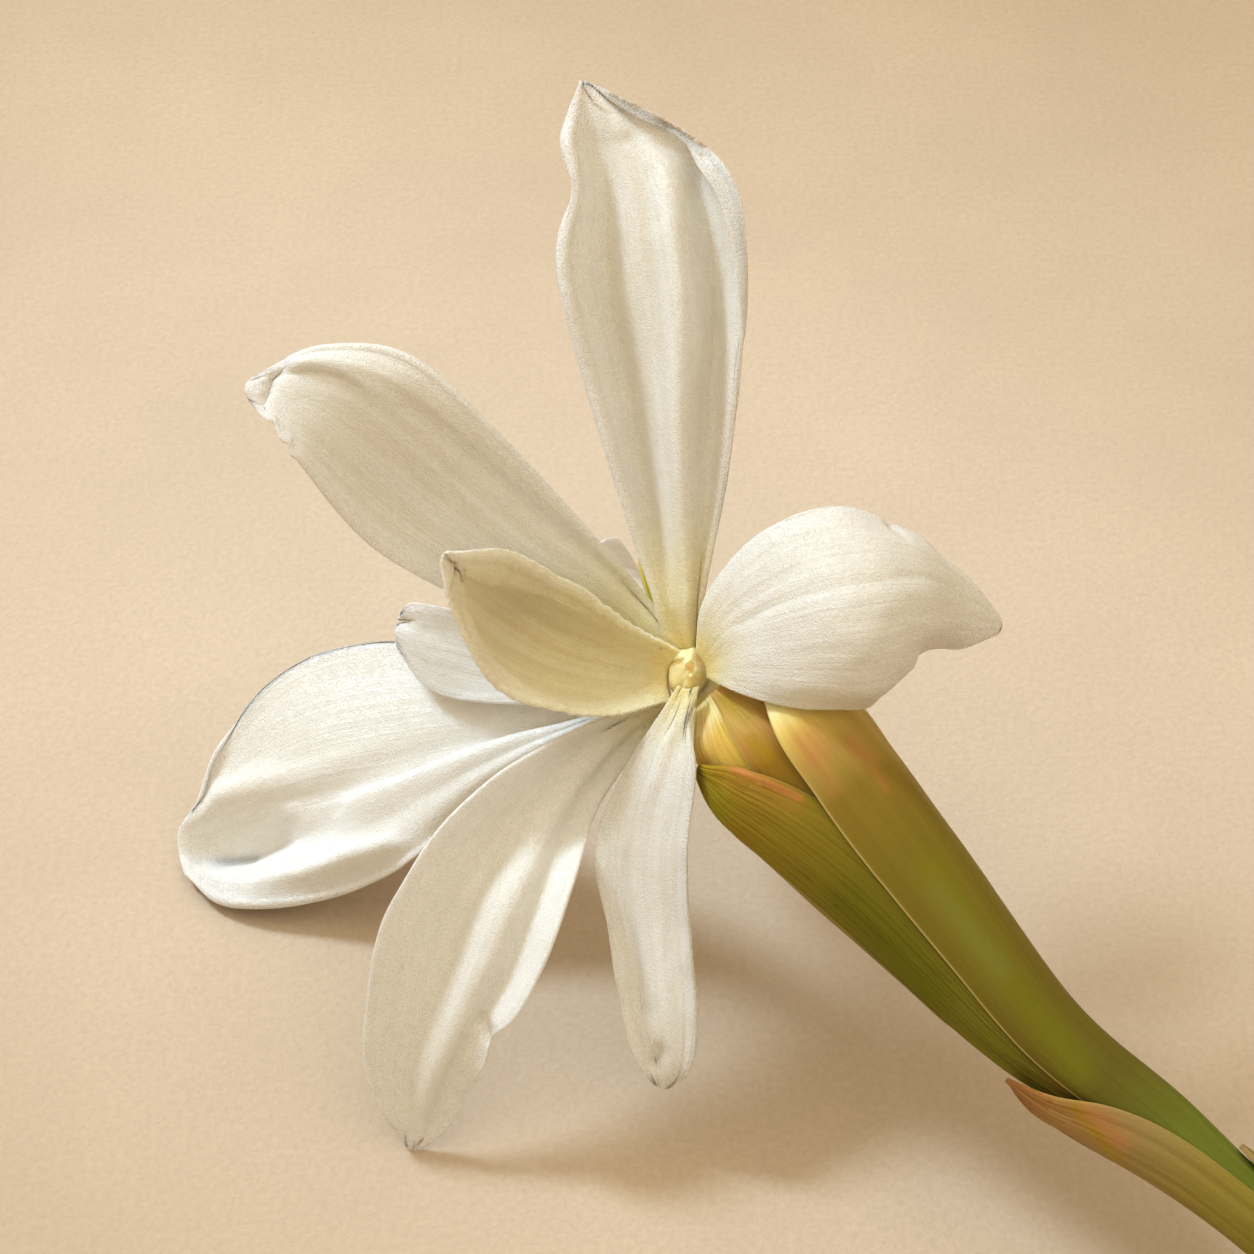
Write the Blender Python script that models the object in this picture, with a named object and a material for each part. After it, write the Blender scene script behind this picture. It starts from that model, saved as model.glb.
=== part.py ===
"""A cut ginger flower lying on a flat surface: petals, throat, a sheath of bracts and a short stem.

Lengths are written in millimetres and turned into metres when a mesh is made.
The bloom is drawn in its own face frame: (across, up, out) from the throat,
where the face looks up and forward at FACE_TILT and "out" leaves the face.
"""
import math

import bpy
import numpy as np

MM = 0.001
THROAT_HEIGHT = 32.0          # throat above the surface that the flower lies on
FACE_TILT = math.radians(45)  # the face looks halfway between forward and up
PETAL_THICKNESS = 0.6
BRACT_THICKNESS = 0.5
PLY = 0.9                     # one bract and the gap under it
STEM_GAP = 0.3                # between the stem and the foot of a bract
PETAL_ROWS, PETAL_COLUMNS = 16, 9
BRACT_STEP, BRACT_COLUMNS = 4.0, 11
TUBE_SIDES = 14
CURVE_SAMPLES = 24            # between two points of a curve
AXIS_REACH = 0.5              # either way along the axis, to find its direction
ROW_CLEARANCE = 0.5           # least space between a shared row and a tip or foot
SHARP_ANGLE = math.radians(50)

# The sheath and the stem follow one curve from the throat down to the cut end.
AXIS = [(0, -0.5, -2), (6.2, -6.6, 1), (18.1, -19.6, 7), (29.6, -32.3, 13),
        (41.2, -40.9, 18), (52, -49.5, 22), (72.2, -65.3, 23.8)]
# Distance along that curve, then the radius there.
SHEATH_PROFILE = [(0, 2.6), (4, 5.2), (8, 7.9), (12, 9.2), (18, 8.8), (26, 7.9),
                  (40, 6.2), (50, 4.9), (60, 4.0), (70, 3.1), (80, 3.2), (95, 3.9)]
STEM_PROFILE = [(31, 2.9), (48, 2.3), (60, 1.9), (76, 1.8), (86, 2.6), (94, 3.4), (110, 3.6)]
# The throat: its mouth faces out, and its tube turns back and runs on inside the sheath.
THROAT_ROUTE = [(0, 0.2, 1.2), (0, 0.1, 0.6), (0, 0, 0), (-0.1, -0.2, -1), (0, -0.5, -2.4), (1, -1.4, -3),
                (3, -3.2, -2.2), (6.5, -6.3, 0.4), (14, -14, 4.4), (19.5, -20.2, 7.4)]
THROAT_PROFILE = [(0, 0.5), (0.6, 1.0), (1.3, 1.3), (3, 1.7), (5, 1.9), (8, 1.8), (14, 1.5), (34, 1.7)]
THROAT_REFERENCE = (0.5, 0.8, 0.3)   # never along the tube, so its rings don't twist
TUCKED_SHARE = 0.6            # how far across a tucked bract the tuck reaches
TUCK_EASE = 0.25              # and how far across it takes to fade out
SHEATH_DEPTH = 0.84           # the sheath is a little flattened, front to back
STEM_TOP = 32
STEM_END = 101

# Each petal is a sheet between a left margin, a rib and a right margin,
# all from the throat to the tip. A fold is (place across, half width, height),
# with the place from -1 at the left margin to 1 at the right one.
PETALS = {
    "upper_petal": {
        "left": [(-0.8, 1.8, -0.6), (-2.6, 3.6, 0), (-3.6, 8, 1.0), (-7, 18, 1.5), (-10.8, 30, 1.5),
                 (-12.5, 38, 1.5), (-11.4, 44.5, 0.5), (-12, 50, -0.5), (-10.3, 55, -2)],
        "rib": [(0, 1.8, -0.8), (-0.7, 7.4, 0.5), (-1.7, 18, 1), (-2.8, 30, 1),
                (-4, 38, 0.5), (-5, 45, -0.5), (-7.3, 50, -1.5), (-9.9, 55.2, -2)],
        "right": [(0.7, 1.8, -0.6), (1.4, 7.3, 1.0), (3.6, 18, 1.5), (5, 30, 2),
                  (5.3, 38, 2), (4.2, 45, 1.5), (-0.2, 49.8, 0), (-9.5, 54.9, -2)],
        "folds": [(-0.45, 0.3, -1.2), (0.25, 0.25, 0.8), (0.62, 0.25, -1.2)],
    },
    "upper_left_petal": {
        "left": [(-1.6, 2.8, -2), (-2.9, 5.4, -2.4), (-6, 9.3, -2.5), (-12, 15.8, 0),
                 (-18.8, 22.4, 3), (-26.2, 28.4, 5), (-34, 29.8, 4.5), (-40.2, 27, 4.2)],
        "rib": [(-1.6, 2.1, -2.2), (-7.7, 6.7, -3.5), (-16, 11, -2), (-24.7, 17.8, 1.5),
                (-32.6, 23.7, 4.5), (-38, 25.5, 5), (-41, 25.8, 4.5)],
        "right": [(-1.5, 1.4, -2.6), (-9.8, 3.5, -5.5), (-19.5, 6, -3.5), (-29.4, 11.3, 2.5),
                  (-35.7, 18.5, 6), (-38.3, 22.4, 6), (-40.2, 24.6, 4.6)],
        "folds": [(-0.62, 0.2, 0.8)],
    },
    "hooded_petal": {
        "left": [(-0.9, 1.7, 0.8), (-5.4, 4.6, 1), (-10.7, 7.9, 3), (-15, 10.1, 4.5),
                 (-19, 10.8, 6), (-21.2, 10.7, 7), (-22.1, 10.9, 7)],
        "rib": [(-2.1, -0.4, -0.8), (-6.3, 0.2, -3), (-12.2, 1.8, -4), (-16.8, 4.5, -3),
                (-20.4, 7.2, 1.5), (-21.8, 9.4, 5.5), (-22.7, 10.5, 7)],
        "right": [(-1.6, -3, -0.4), (-6.8, -4, 2), (-12.2, -3.8, 4), (-17.3, -1.8, 5),
                  (-20.7, 2.8, 6), (-22.2, 7.2, 7), (-22.8, 9.6, 7)],
        "folds": [],
    },
    "small_left_petal": {
        "left": [(-1.9, -0.6, -3), (-8.4, 1.3, -7), (-16.2, 4.5, -11), (-23, 5.8, -14),
                 (-26.8, 6.4, -16), (-28.1, 5.4, -17)],
        "rib": [(-2.0, -1.2, -3.2), (-8.4, -1.1, -8), (-16.2, 0.3, -12), (-23, 1.8, -14.5),
                (-26.6, 2.7, -16), (-28.5, 3.6, -17)],
        "right": [(-2.0, -1.8, -3.2), (-8.4, -3, -7), (-14.2, -3.4, -9.5), (-21.4, -3.1, -13),
                  (-25.7, -1.7, -15.5), (-28.3, 2, -17)],
        "folds": [],
    },
    "left_petal": {
        "left": [(-1.9, -1.6, -4.1), (-11.8, -2.3, -11.6), (-20.3, -0.2, -17.6), (-28.6, 2.4, -22),
                 (-38.7, -0.5, -25.5), (-46.7, -8.2, -26.2), (-50.2, -14.6, -25.2)],
        "rib": [(-1.8, -2, -4.2), (-11.6, -5.1, -9), (-20.2, -8, -12.5), (-29.4, -11.9, -15.5),
                (-39.7, -14.6, -21), (-46.6, -17.3, -24.8), (-50.9, -17.6, -25.2)],
        "right": [(-1.7, -2.4, -4.1), (-11.3, -6.4, -8.5), (-19, -11.6, -10.5), (-27.6, -17, -11.5),
                  (-35.8, -21.1, -15.5), (-44.9, -22.2, -18.8), (-49.9, -20.5, -22.5)],
        "folds": [(-0.2, 0.25, 0.8), (0.3, 0.2, 0.8)],
    },
    "lower_left_petal": {
        "left": [(-2, -2.4, -2.4), (-8.8, -6.3, 1), (-16.8, -11.8, 5.1), (-22.9, -19.1, 7.8),
                 (-27.1, -26.5, 8.4), (-29.5, -34.7, 6.2), (-28.5, -40.6, 3), (-26.6, -44.4, -0.5)],
        "rib": [(-1.7, -2.7, -2.8), (-7.7, -7.3, -2), (-14.2, -13.6, 1.6), (-19, -21.1, 4.7),
                (-22.6, -30.3, 4.8), (-25, -36.1, 3.6), (-25.9, -41.2, 1.4), (-25.9, -44.7, -0.5)],
        "right": [(-1.3, -3, -2.4), (-5.8, -8.7, -2.6), (-10, -15, -1.3), (-11.1, -21.2, 3.6),
                  (-13.8, -28.8, 5.1), (-18.8, -35, 3.1), (-22.3, -41.7, 0.3), (-25, -44.3, -0.6)],
        "folds": [(0.55, 0.35, 1.5)],
    },
    "lower_petal": {
        "left": [(-0.9, -1.5, 1), (-2.8, -4.3, 0.8), (-6.3, -9.2, 0.6), (-9, -16.2, 1),
                 (-7.6, -24.3, 1.8), (-5.8, -33.2, 2.9), (-4.3, -36.9, 3.1), (-3.2, -38.2, 2.6)],
        "rib": [(-0.2, -1.7, 1.4), (-0.8, -4.8, 2), (-2.8, -10.6, 2.6), (-4.2, -17.5, 2.6),
                (-3.5, -24.8, 3.2), (-2.8, -33.1, 3.9), (-2.5, -36.5, 3.7), (-2.5, -38.6, 2.7)],
        "right": [(0.8, -1.5, 1.2), (0.1, -5.3, 2.9), (0.7, -9.6, 4.8), (0.1, -17.5, 4.4),
                  (0.1, -24.3, 4), (0.5, -32.1, 4.2), (-0.3, -36.5, 3.7), (-1.8, -38.4, 2.7)],
        "folds": [],
    },
    "right_petal": {
        "left": [(0.5, 1.7, 1.2), (1.4, 6.8, 3), (5.9, 12.1, 5), (12.9, 15, 6),
                 (19.7, 13.5, 4), (25.9, 9, 1), (28.8, 4.9, 0)],
        "rib": [(1.4, 0.6, 1.2), (4.5, 2.8, 6), (10.6, 4.6, 11), (15.9, 5.3, 12),
                (21.1, 6, 9), (25.2, 5.1, 4), (29, 4.1, 0)],
        "right": [(1.6, -0.7, 1.2), (4.9, -2.2, 6.5), (10.8, -3.8, 9.8), (16.8, -3.9, 9.4),
                  (21.2, 0.4, 5.5), (25.5, 1.6, 1.8), (28.6, 3.4, 0)],
        "folds": [],
    },
    "rear_petal": {
        "left": [(-1.5, 0.5, -3.9), (-8.5, 4.5, -11), (-10.5, 10, -17), (-7.2, 12.9, -23), (-4.6, 9.6, -28),
                 (-2, 6.6, -33), (4, 5, -40), (11, 4.4, -46), (17.5, 2.9, -47.9)],
        "rib": [(-1.2, 0.9, -4.2), (-5.5, 4.6, -10), (-6.8, 8.5, -17), (-4.6, 8.6, -24), (-1.5, 5.6, -30),
                (3, 3.4, -35.5), (9, 2.4, -41), (14, 2.4, -45.2), (17.8, 2.6, -47.6)],
        "right": [(-0.8, 1.2, -4.2), (-3.2, 5.4, -10), (-3.2, 7, -17), (-1.2, 6, -24), (2.4, 3, -29.5),
                  (7, 0.8, -34), (12.5, 0, -39), (16, 1, -43.5), (18, 2.4, -47.4)],
        "folds": [],
    },
    "rear_bract": {
        "left": [(0.3, 0.3, -4.9), (-1.5, 3.2, -6.1), (-3.8, 6.8, -7.3), (-4.6, 9.6, -9),
                 (-4.9, 12.3, -11)],
        "rib": [(0.8, 0.4, -5.1), (-0.4, 3.4, -6.8), (-1.6, 6.8, -8), (-3, 10, -9.6),
                (-4.7, 12.7, -11.2)],
        "right": [(1.3, 0.2, -4.9), (1.2, 3, -6.6), (0.8, 6.6, -7.8), (-1, 10, -9.4),
                  (-4.3, 12.5, -11)],
        "folds": [],
    },
}

# Each bract wraps the axis. Its margins are (distance along, turn in degrees),
# with 0 facing the front of the bloom and 90 its upper right. "depth" counts
# the bracts outside it, "foot" is where it closes on the stem over the length
# "cinch", and "tuck" is how much nearer to the axis its left margin lies there.
BRACTS = {
    "pale_inner_bract": {
        "depth": 3, "tip": 3.2, "foot": 37, "cinch": 6,
        "tuck": [(3, -0.8), (7, -0.9), (8.5, 0), (37, 0)],
        "left": [(3, -80), (8, -105), (20, -115), (37, -115)],
        "right": [(3, 12), (20, 14), (37, 14)],
    },
    "green_inner_bract": {
        "depth": 2, "tip": 3.6, "foot": 44, "cinch": 8,
        "left": [(3, 0), (5, -6), (10, -15), (14, -19), (20, -22), (44, -22)],
        "right": [(3, 110), (8, 135), (20, 150), (44, 150)],
    },
    "underside_bract": {
        "depth": 2, "tip": 9, "foot": 46, "cinch": 6,
        "left": [(9, -160), (16, -195), (30, -200), (46, -195)],
        "right": [(9, -80), (16, -40), (30, -40), (46, -40)],
    },
    "left_outer_bract": {
        "depth": 1, "tip": 8, "foot": 60, "cinch": 12,
        "left": [(8, -66), (12, -66), (30, -62), (60, -60)],
        "right": [(8, -52), (8.8, -44), (10.7, -27), (13.6, -13), (18, 1), (26, 16), (40, 20), (60, 10)],
    },
    "right_outer_bract": {
        "depth": 0, "tip": 5, "foot": 82, "cinch": 8,
        "left": [(5, 40), (10.6, 14), (19, 3), (31, -5), (40, -8), (52, -18), (66, -28), (82, -28)],
        "right": [(5, 70), (9, 120), (18, 180), (40, 190), (82, 180)],
    },
    "lower_bract": {
        "depth": -1, "tip": 48, "foot": 92, "cinch": 8,
        "tuck": [(48, 0.5), (56, 0.7), (64, 0.9), (74, 0.9), (84, 0.4), (92, 0)],
        "left": [(48, -50), (54, -110), (66, -145), (92, -150)],
        "right": [(48, -42), (52, -28), (56, -6), (60, 8), (65, 18), (72.5, 23), (92, 26)],
    },
    "upper_bract": {
        "depth": -1, "tip": 67, "foot": 95, "cinch": 8,
        "left": [(67, 72), (72, 52), (80, 44), (95, 40)],
        "right": [(67, 80), (72, 130), (80, 150), (95, 155)],
    },
}

# Colour, roughness and metallic value of each sub-part.
IVORY = ((0.86, 0.83, 0.74), 0.45, 0.0)
GOLDEN_IVORY = ((0.80, 0.70, 0.50), 0.45, 0.0)
THROAT_YELLOW = ((0.90, 0.68, 0.25), 0.4, 0.0)
OLIVE = ((0.34, 0.27, 0.03), 0.4, 0.0)
TAN = ((0.55, 0.38, 0.12), 0.45, 0.0)
FINISHES = {
    "hooded_petal": GOLDEN_IVORY,
    "rear_bract": OLIVE,
    "throat": THROAT_YELLOW,
    "pale_inner_bract": TAN,
    "green_inner_bract": TAN,
    "underside_bract": TAN,
    "left_outer_bract": OLIVE,
    "right_outer_bract": OLIVE,
    "lower_bract": OLIVE,
    "upper_bract": TAN,
    "stem": OLIVE,
}


def to_world(points):
    """Turn face-frame millimetres into metres, with the surface at zero height."""
    across, up, out = np.moveaxis(np.asarray(points, float), -1, 0)
    sine, cosine = math.sin(FACE_TILT), math.cos(FACE_TILT)
    forward = up * cosine - out * sine
    height = up * sine + out * cosine + THROAT_HEIGHT
    return np.stack((across, forward, height), -1) * MM


def smooth_curve(points, steps):
    """Read a smooth curve through the points at evenly spaced distances."""
    points = np.asarray(points, float)
    tangents = np.gradient(points, axis=0)
    samples = []
    for index in range(len(points) - 1):
        t = np.linspace(0, 1, CURVE_SAMPLES, endpoint=False)[:, None]
        start, end = points[index], points[index + 1]
        rise, fall = tangents[index], tangents[index + 1]
        samples.append((2 * t**3 - 3 * t**2 + 1) * start + (t**3 - 2 * t**2 + t) * rise
                       + (3 * t**2 - 2 * t**3) * end + (t**3 - t**2) * fall)
    samples = np.vstack(samples + [points[-1:]])
    lengths = np.linalg.norm(np.diff(samples, axis=0), axis=1)
    distance = np.concatenate(([0], np.cumsum(lengths)))
    if np.isscalar(steps):
        wanted = np.linspace(0, distance[-1], steps)
    else:
        wanted = np.asarray(steps, float)
    return np.stack([np.interp(wanted, distance, samples[:, k]) for k in range(3)], -1)


def grid_normals(grid):
    """Give the outward direction of a grid of points (rows run to the tip)."""
    along = np.gradient(grid, axis=0)
    over = np.gradient(grid, axis=1)
    normals = np.cross(over, along)
    return normals / np.maximum(np.linalg.norm(normals, axis=-1, keepdims=True), 1e-9)


def petal_sheet(design):
    """Give the middle surface of a petal as a grid of points."""
    left, rib, right = (smooth_curve(design[name], PETAL_ROWS) for name in ("left", "rib", "right"))
    across = np.linspace(-1, 1, PETAL_COLUMNS)[None, :, None]
    grid = (left[:, None] * across * (across - 1) / 2 + rib[:, None] * (1 - across**2)
            + right[:, None] * across * (across + 1) / 2)
    body = np.sin(np.pi * np.linspace(0, 1, PETAL_ROWS)) ** 0.5
    height = np.zeros(grid.shape[:2])
    for place, width, size in design["folds"]:
        height += size * np.exp(-((across[:, :, 0] - place) / width) ** 2) * body[:, None]
    return grid + grid_normals(grid) * height[:, :, None]


def add_object(name, vertices, faces):
    """Make one named object, in its own colour."""
    mesh = bpy.data.meshes.new(name)
    mesh.from_pydata([tuple(vertex) for vertex in vertices], [], faces)
    mesh.shade_smooth()
    mesh.set_sharp_from_angle(angle=SHARP_ANGLE)
    colour, roughness, metallic = FINISHES.get(name, IVORY)
    material = bpy.data.materials.new(name)
    material.use_nodes = True
    shader = material.node_tree.nodes["Principled BSDF"]
    shader.inputs["Base Color"].default_value = (*colour, 1)
    shader.inputs["Roughness"].default_value = roughness
    shader.inputs["Metallic"].default_value = metallic
    mesh.materials.append(material)
    part = bpy.data.objects.new(name, mesh)
    bpy.context.collection.objects.link(part)
    return part


def add_sheet(name, front, back):
    """Close two grids of points, one behind the other, into one solid."""
    rows, columns = front.shape[:2]
    vertices = np.concatenate((to_world(front).reshape(-1, 3), to_world(back).reshape(-1, 3)))
    behind = rows * columns
    faces = []
    for row in range(rows - 1):
        for column in range(columns - 1):
            corner = row * columns + column
            ring = (corner, corner + 1, corner + columns + 1, corner + columns)
            faces.append(ring)
            faces.append(tuple(behind + point for point in reversed(ring)))
    border = list(range(columns))
    border += [row * columns + columns - 1 for row in range(1, rows)]
    border += [(rows - 1) * columns + column for column in range(columns - 2, -1, -1)]
    border += [row * columns for row in range(rows - 2, 0, -1)]
    for here, after in zip(border, border[1:] + border[:1]):
        faces.append((after, here, behind + here, behind + after))
    return add_object(name, vertices, faces)


def add_petal(name, design):
    """Make a petal: its middle surface thickened equally to both sides."""
    middle = petal_sheet(design)
    offset = grid_normals(middle) * PETAL_THICKNESS / 2
    return add_sheet(name, middle + offset, middle - offset)


def axis_frame(distances):
    """Give points on the axis, with the directions to the front and to the upper right."""
    ends = smooth_curve(AXIS, distances)
    ahead = smooth_curve(AXIS, np.asarray(distances) + AXIS_REACH)
    before = smooth_curve(AXIS, np.maximum(np.asarray(distances) - AXIS_REACH, 0))
    along = ahead - before
    along /= np.linalg.norm(along, axis=1, keepdims=True)
    front = np.array([0, 0, 1.0]) - along * along[:, 2:3]
    front /= np.linalg.norm(front, axis=1, keepdims=True)
    side = np.cross(front, along)
    side *= np.sign(side[:, 0:1])
    return ends, front, side


def profile(table, distances):
    """Read a radius or an angle from a table of (distance, value)."""
    places, values = zip(*table)
    return np.interp(distances, places, values)


def around_axis(distances, radii, turns):
    """Place points round the axis: one row for each distance, one column for each turn."""
    centres, front, side = axis_frame(distances)
    turns = np.radians(turns)[:, :, None]
    reach = radii[:, :, None]
    return (centres[:, None] + front[:, None] * np.cos(turns) * reach * SHEATH_DEPTH
            + side[:, None] * np.sin(turns) * reach)


def bract_rows(design):
    """Give the distances of a bract's rows, shared by all bracts between tip and foot."""
    tip, foot = design["tip"], design["foot"]
    shared = np.arange(BRACT_STEP, foot - ROW_CLEARANCE, BRACT_STEP)
    return np.concatenate(([tip], shared[shared > tip + ROW_CLEARANCE], [foot]))


def bract_shape(design):
    """Give the distance of each row of a bract, with the turn and outer radius of its points."""
    distances = bract_rows(design)
    opened = profile(SHEATH_PROFILE, distances) - design["depth"] * PLY
    closed = profile(STEM_PROFILE, distances) + STEM_GAP + BRACT_THICKNESS
    share = np.clip((design["foot"] - distances) / design["cinch"], 0, 1)
    share = share * share * (3 - 2 * share)
    across = np.linspace(0, 1, BRACT_COLUMNS)
    tuck = profile(design.get("tuck", [(0, 0)]), distances)
    opened = opened[:, None] - tuck[:, None] * np.clip((TUCKED_SHARE - across) / TUCK_EASE, 0, 1)
    radii = closed[:, None] + (opened - closed[:, None]) * share[:, None]
    left = profile(design["left"], distances)
    right = profile(design["right"], distances)
    turns = left[:, None] + (right - left)[:, None] * across
    return distances, radii, turns


def add_bract(name, design):
    """Make one bract as a shell wrapped round the axis."""
    distances, radii, turns = bract_shape(design)
    outer = around_axis(distances, radii, turns)
    inner = around_axis(distances, radii - BRACT_THICKNESS, turns)
    return add_sheet(name, inner, outer)


def add_tube(name, centres, radii, front, side):
    """Make a closed tapered rod with flat ends."""
    rows = len(centres)
    turns = np.linspace(0, 2 * np.pi, TUBE_SIDES, endpoint=False)
    rings = (centres[:, None] + front[:, None] * np.cos(turns)[None, :, None] * radii[:, None, None]
             + side[:, None] * np.sin(turns)[None, :, None] * radii[:, None, None])
    vertices = to_world(rings.reshape(-1, 3))
    faces = [tuple(range(TUBE_SIDES)),
             tuple((rows - 1) * TUBE_SIDES + k for k in reversed(range(TUBE_SIDES)))]
    for row in range(rows - 1):
        for k in range(TUBE_SIDES):
            after = (k + 1) % TUBE_SIDES
            start = row * TUBE_SIDES
            faces.append((start + k, start + TUBE_SIDES + k, start + TUBE_SIDES + after, start + after))
    return add_object(name, vertices, faces)


def add_throat():
    """Make the throat: a small swollen mouth that narrows into a tube inside the sheath."""
    mouth = np.arange(0, 6, 0.6)
    tube = np.arange(6, 30, 2.5)
    distances = np.concatenate((mouth, tube))
    centres = smooth_curve(THROAT_ROUTE, distances)
    along = np.gradient(centres, axis=0)
    along /= np.linalg.norm(along, axis=1, keepdims=True)
    side = np.cross(THROAT_REFERENCE, along)
    side /= np.linalg.norm(side, axis=1, keepdims=True)
    front = np.cross(along, side)
    return add_tube("throat", centres, profile(THROAT_PROFILE, distances), front, side)


def add_stem():
    """Make the stem, from inside the sheath to its cut end on the surface."""
    distances = np.concatenate((np.arange(STEM_TOP, STEM_END, BRACT_STEP), [STEM_END]))
    centres, front, side = axis_frame(distances)
    return add_tube("stem", centres, profile(STEM_PROFILE, distances), front * SHEATH_DEPTH, side)


def lay_on_surface(parts):
    """Put the lowest point on zero height and the middle of the outline over the origin."""
    corners = np.array([vertex.co[:] for part in parts for vertex in part.data.vertices])
    low, high = corners.min(axis=0), corners.max(axis=0)
    shift = np.array([-(low[0] + high[0]) / 2, -(low[1] + high[1]) / 2, -low[2]])
    for part in parts:
        for vertex in part.data.vertices:
            vertex.co = np.array(vertex.co[:]) + shift


def main():
    for old in list(bpy.data.objects):
        bpy.data.objects.remove(old, do_unlink=True)
    parts = [add_petal(name, design) for name, design in PETALS.items()]
    parts += [add_bract(name, design) for name, design in BRACTS.items()]
    parts += [add_throat(), add_stem()]
    lay_on_surface(parts)


main()
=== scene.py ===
"""A cut ginger flower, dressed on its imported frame.

The petals, the throat, the bracts and the stem are each made anew at the place
and size of the CAD solid that they stand for. Shapes are drawn in millimetres in
the flower's own face frame, (across, up, out) from the throat, and turned into
metres in the frame's own axes when a mesh is made.
"""
import math

import bpy
import numpy as np
from bpy.props import EnumProperty, FloatProperty, FloatVectorProperty, PointerProperty
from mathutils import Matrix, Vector


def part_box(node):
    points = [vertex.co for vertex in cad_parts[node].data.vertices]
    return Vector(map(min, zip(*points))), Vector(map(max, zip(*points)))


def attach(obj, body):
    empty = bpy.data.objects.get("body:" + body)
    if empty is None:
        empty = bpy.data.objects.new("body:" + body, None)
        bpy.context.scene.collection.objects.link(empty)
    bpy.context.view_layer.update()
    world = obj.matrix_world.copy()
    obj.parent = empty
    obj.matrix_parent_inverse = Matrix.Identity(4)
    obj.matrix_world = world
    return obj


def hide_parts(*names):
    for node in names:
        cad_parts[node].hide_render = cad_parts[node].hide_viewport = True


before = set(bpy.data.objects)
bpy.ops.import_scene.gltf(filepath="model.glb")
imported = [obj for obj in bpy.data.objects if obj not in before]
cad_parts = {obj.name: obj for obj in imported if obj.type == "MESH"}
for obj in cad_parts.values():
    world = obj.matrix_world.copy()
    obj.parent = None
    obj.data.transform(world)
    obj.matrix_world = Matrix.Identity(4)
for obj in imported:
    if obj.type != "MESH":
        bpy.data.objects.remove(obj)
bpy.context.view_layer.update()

bl_info = {
    "name": "Ginger flower",
    "version": (1, 0, 0),
    "blender": (4, 5, 0),
    "location": "View3D > Sidebar > Flower",
    "description": "Petals, bracts, throat and stem of a cut ginger flower, with their finishes",
    "category": "Add Mesh",
}

MM = 0.001
FACE_TILT = math.radians(45)              # the face looks halfway between forward and up
MOUTH_FROM_CORNER = (1.81, -3.20, -1.28)  # from the left, rear, top corner of the throat's box
CURVE_SAMPLES = 40                        # between two points of a curve
HILLS = 64                                # random heights each way before waves repeat
TINY = 1e-12                              # stands in for a length that may be nothing

BLANK_HALF_THICKNESS = 0.03
LATTICE_ROWS = 353                        # places along a piece at which its shape is worked out
LATTICE_COLUMNS = 145                     # and across it
CROWDING = 0.46                           # of a half turn: how far the places crowd to the margins
STEP = 0.002                              # across or along, to find which way a sheet faces
ROLL_STEPS = 16                           # along the curve of a rolled margin
ROLL_LIMIT = 0.6                          # the most of its half of the petal a roll takes up
PLEAT_TURNS = 11                          # to a millimetre across, as an angle
PLEAT_START = (0.70, 0.8)                 # how far across pleats fade in
FINE_SHARE = 0.3                          # how high fine wrinkles are beside broad ones
REST_EASE = 0.00025                       # metres above the surface where shapes are eased off it
AXIS_REACH = 0.5                          # either way along the axis, to find its direction
BRACT_PLY = 0.5                           # what a bract adds to the stem where it closes on it
PLY = 0.9                                 # one bract and the gap under it
STEM_GAP = 0.3                            # between the stem and the foot of a bract
WRINKLE_HEIGHT = 0.12                     # of a bract's broad wrinkles
BRACT_HUG = 0.2                           # how far a bract's margins are pressed down
BRACT_HEM = 0.07                          # share of the width over which they are
BRACT_CROWDING = 1.4                      # places along a bract crowd to its tip by this power
STAIN_SIDE = (-0.2, 0.3)                  # cosine of the turn over which stains fade in
TUCKED_SHARE = 0.6                        # how far across a tucked bract the tuck reaches
TUCK_EASE = 0.25                          # and how far across it takes to fade out
SHEATH_DEPTH = 0.84                       # the sheath is a little flattened, front to back
STEM_TOP = 32                             # where the stem starts and ends along the axis
STEM_END = 101
STEM_SKIN = 0.05                          # the stem's ribs stay this far inside the frame's stem
STEM_ROD = (110, 40)                      # rings along it and sides round it
STEM_RIBS = 0.06                          # height of the stem's ribs
CUT_EDGE = 0.97                           # share of the radius that the cut shows
CAP_RINGS = 9                             # rings of faces on the end of a rod
THROAT_ROD = (90, 48)
THROAT_LENGTH = 33
MOUTH_FADE = (1.0, 4.0)                   # how far down the throat its mouth's shape fades
THROAT_LUMPS = 0.14                       # of the radius at the mouth
COLLAR_LEAN = 0.35                        # how unevenly the mouth's rim reaches out
COLLAR_DEPTH = 0.3                        # how deep the mouth of the throat is hollow
COLLAR_STRETCH = 0.4                      # and how much taller than wide it is

# The stage. The camera's and the main light's aims are in millimetres from the throat.
CAMERA_LENS = 100
CAMERA_SENSOR = 36
CAMERA_AIM = (-5.86, 2.83, 2.83)
KEY_DIRECTION = (-0.565, 0.426, 0.707)
KEY_TARGET = (-12, 34, -32)
KEY_CONE = math.radians(19)
VIEW_GAMMA = 0.77                         # deepens and warms the shadows
FLOOR_SIZE = 4.0

THROAT_NEAR = 0.001                       # metres from the throat within which warm tints are full
BASE_REACH = 0.006                        # where a petal's base stops being as yellow as the throat
BASE_SHARE = 0.6                          # and how much of that yellow it takes on
VEIN_SHADE = (0.66, 0.56, 0.36)           # what a petal's veins multiply its colour by
STREAK_SHADE = (0.8, 0.82, 0.7)           # and what a bract's streaks do
BRACT_RIM = 0.012                         # share of a bract's width that is a pale thin margin

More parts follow.
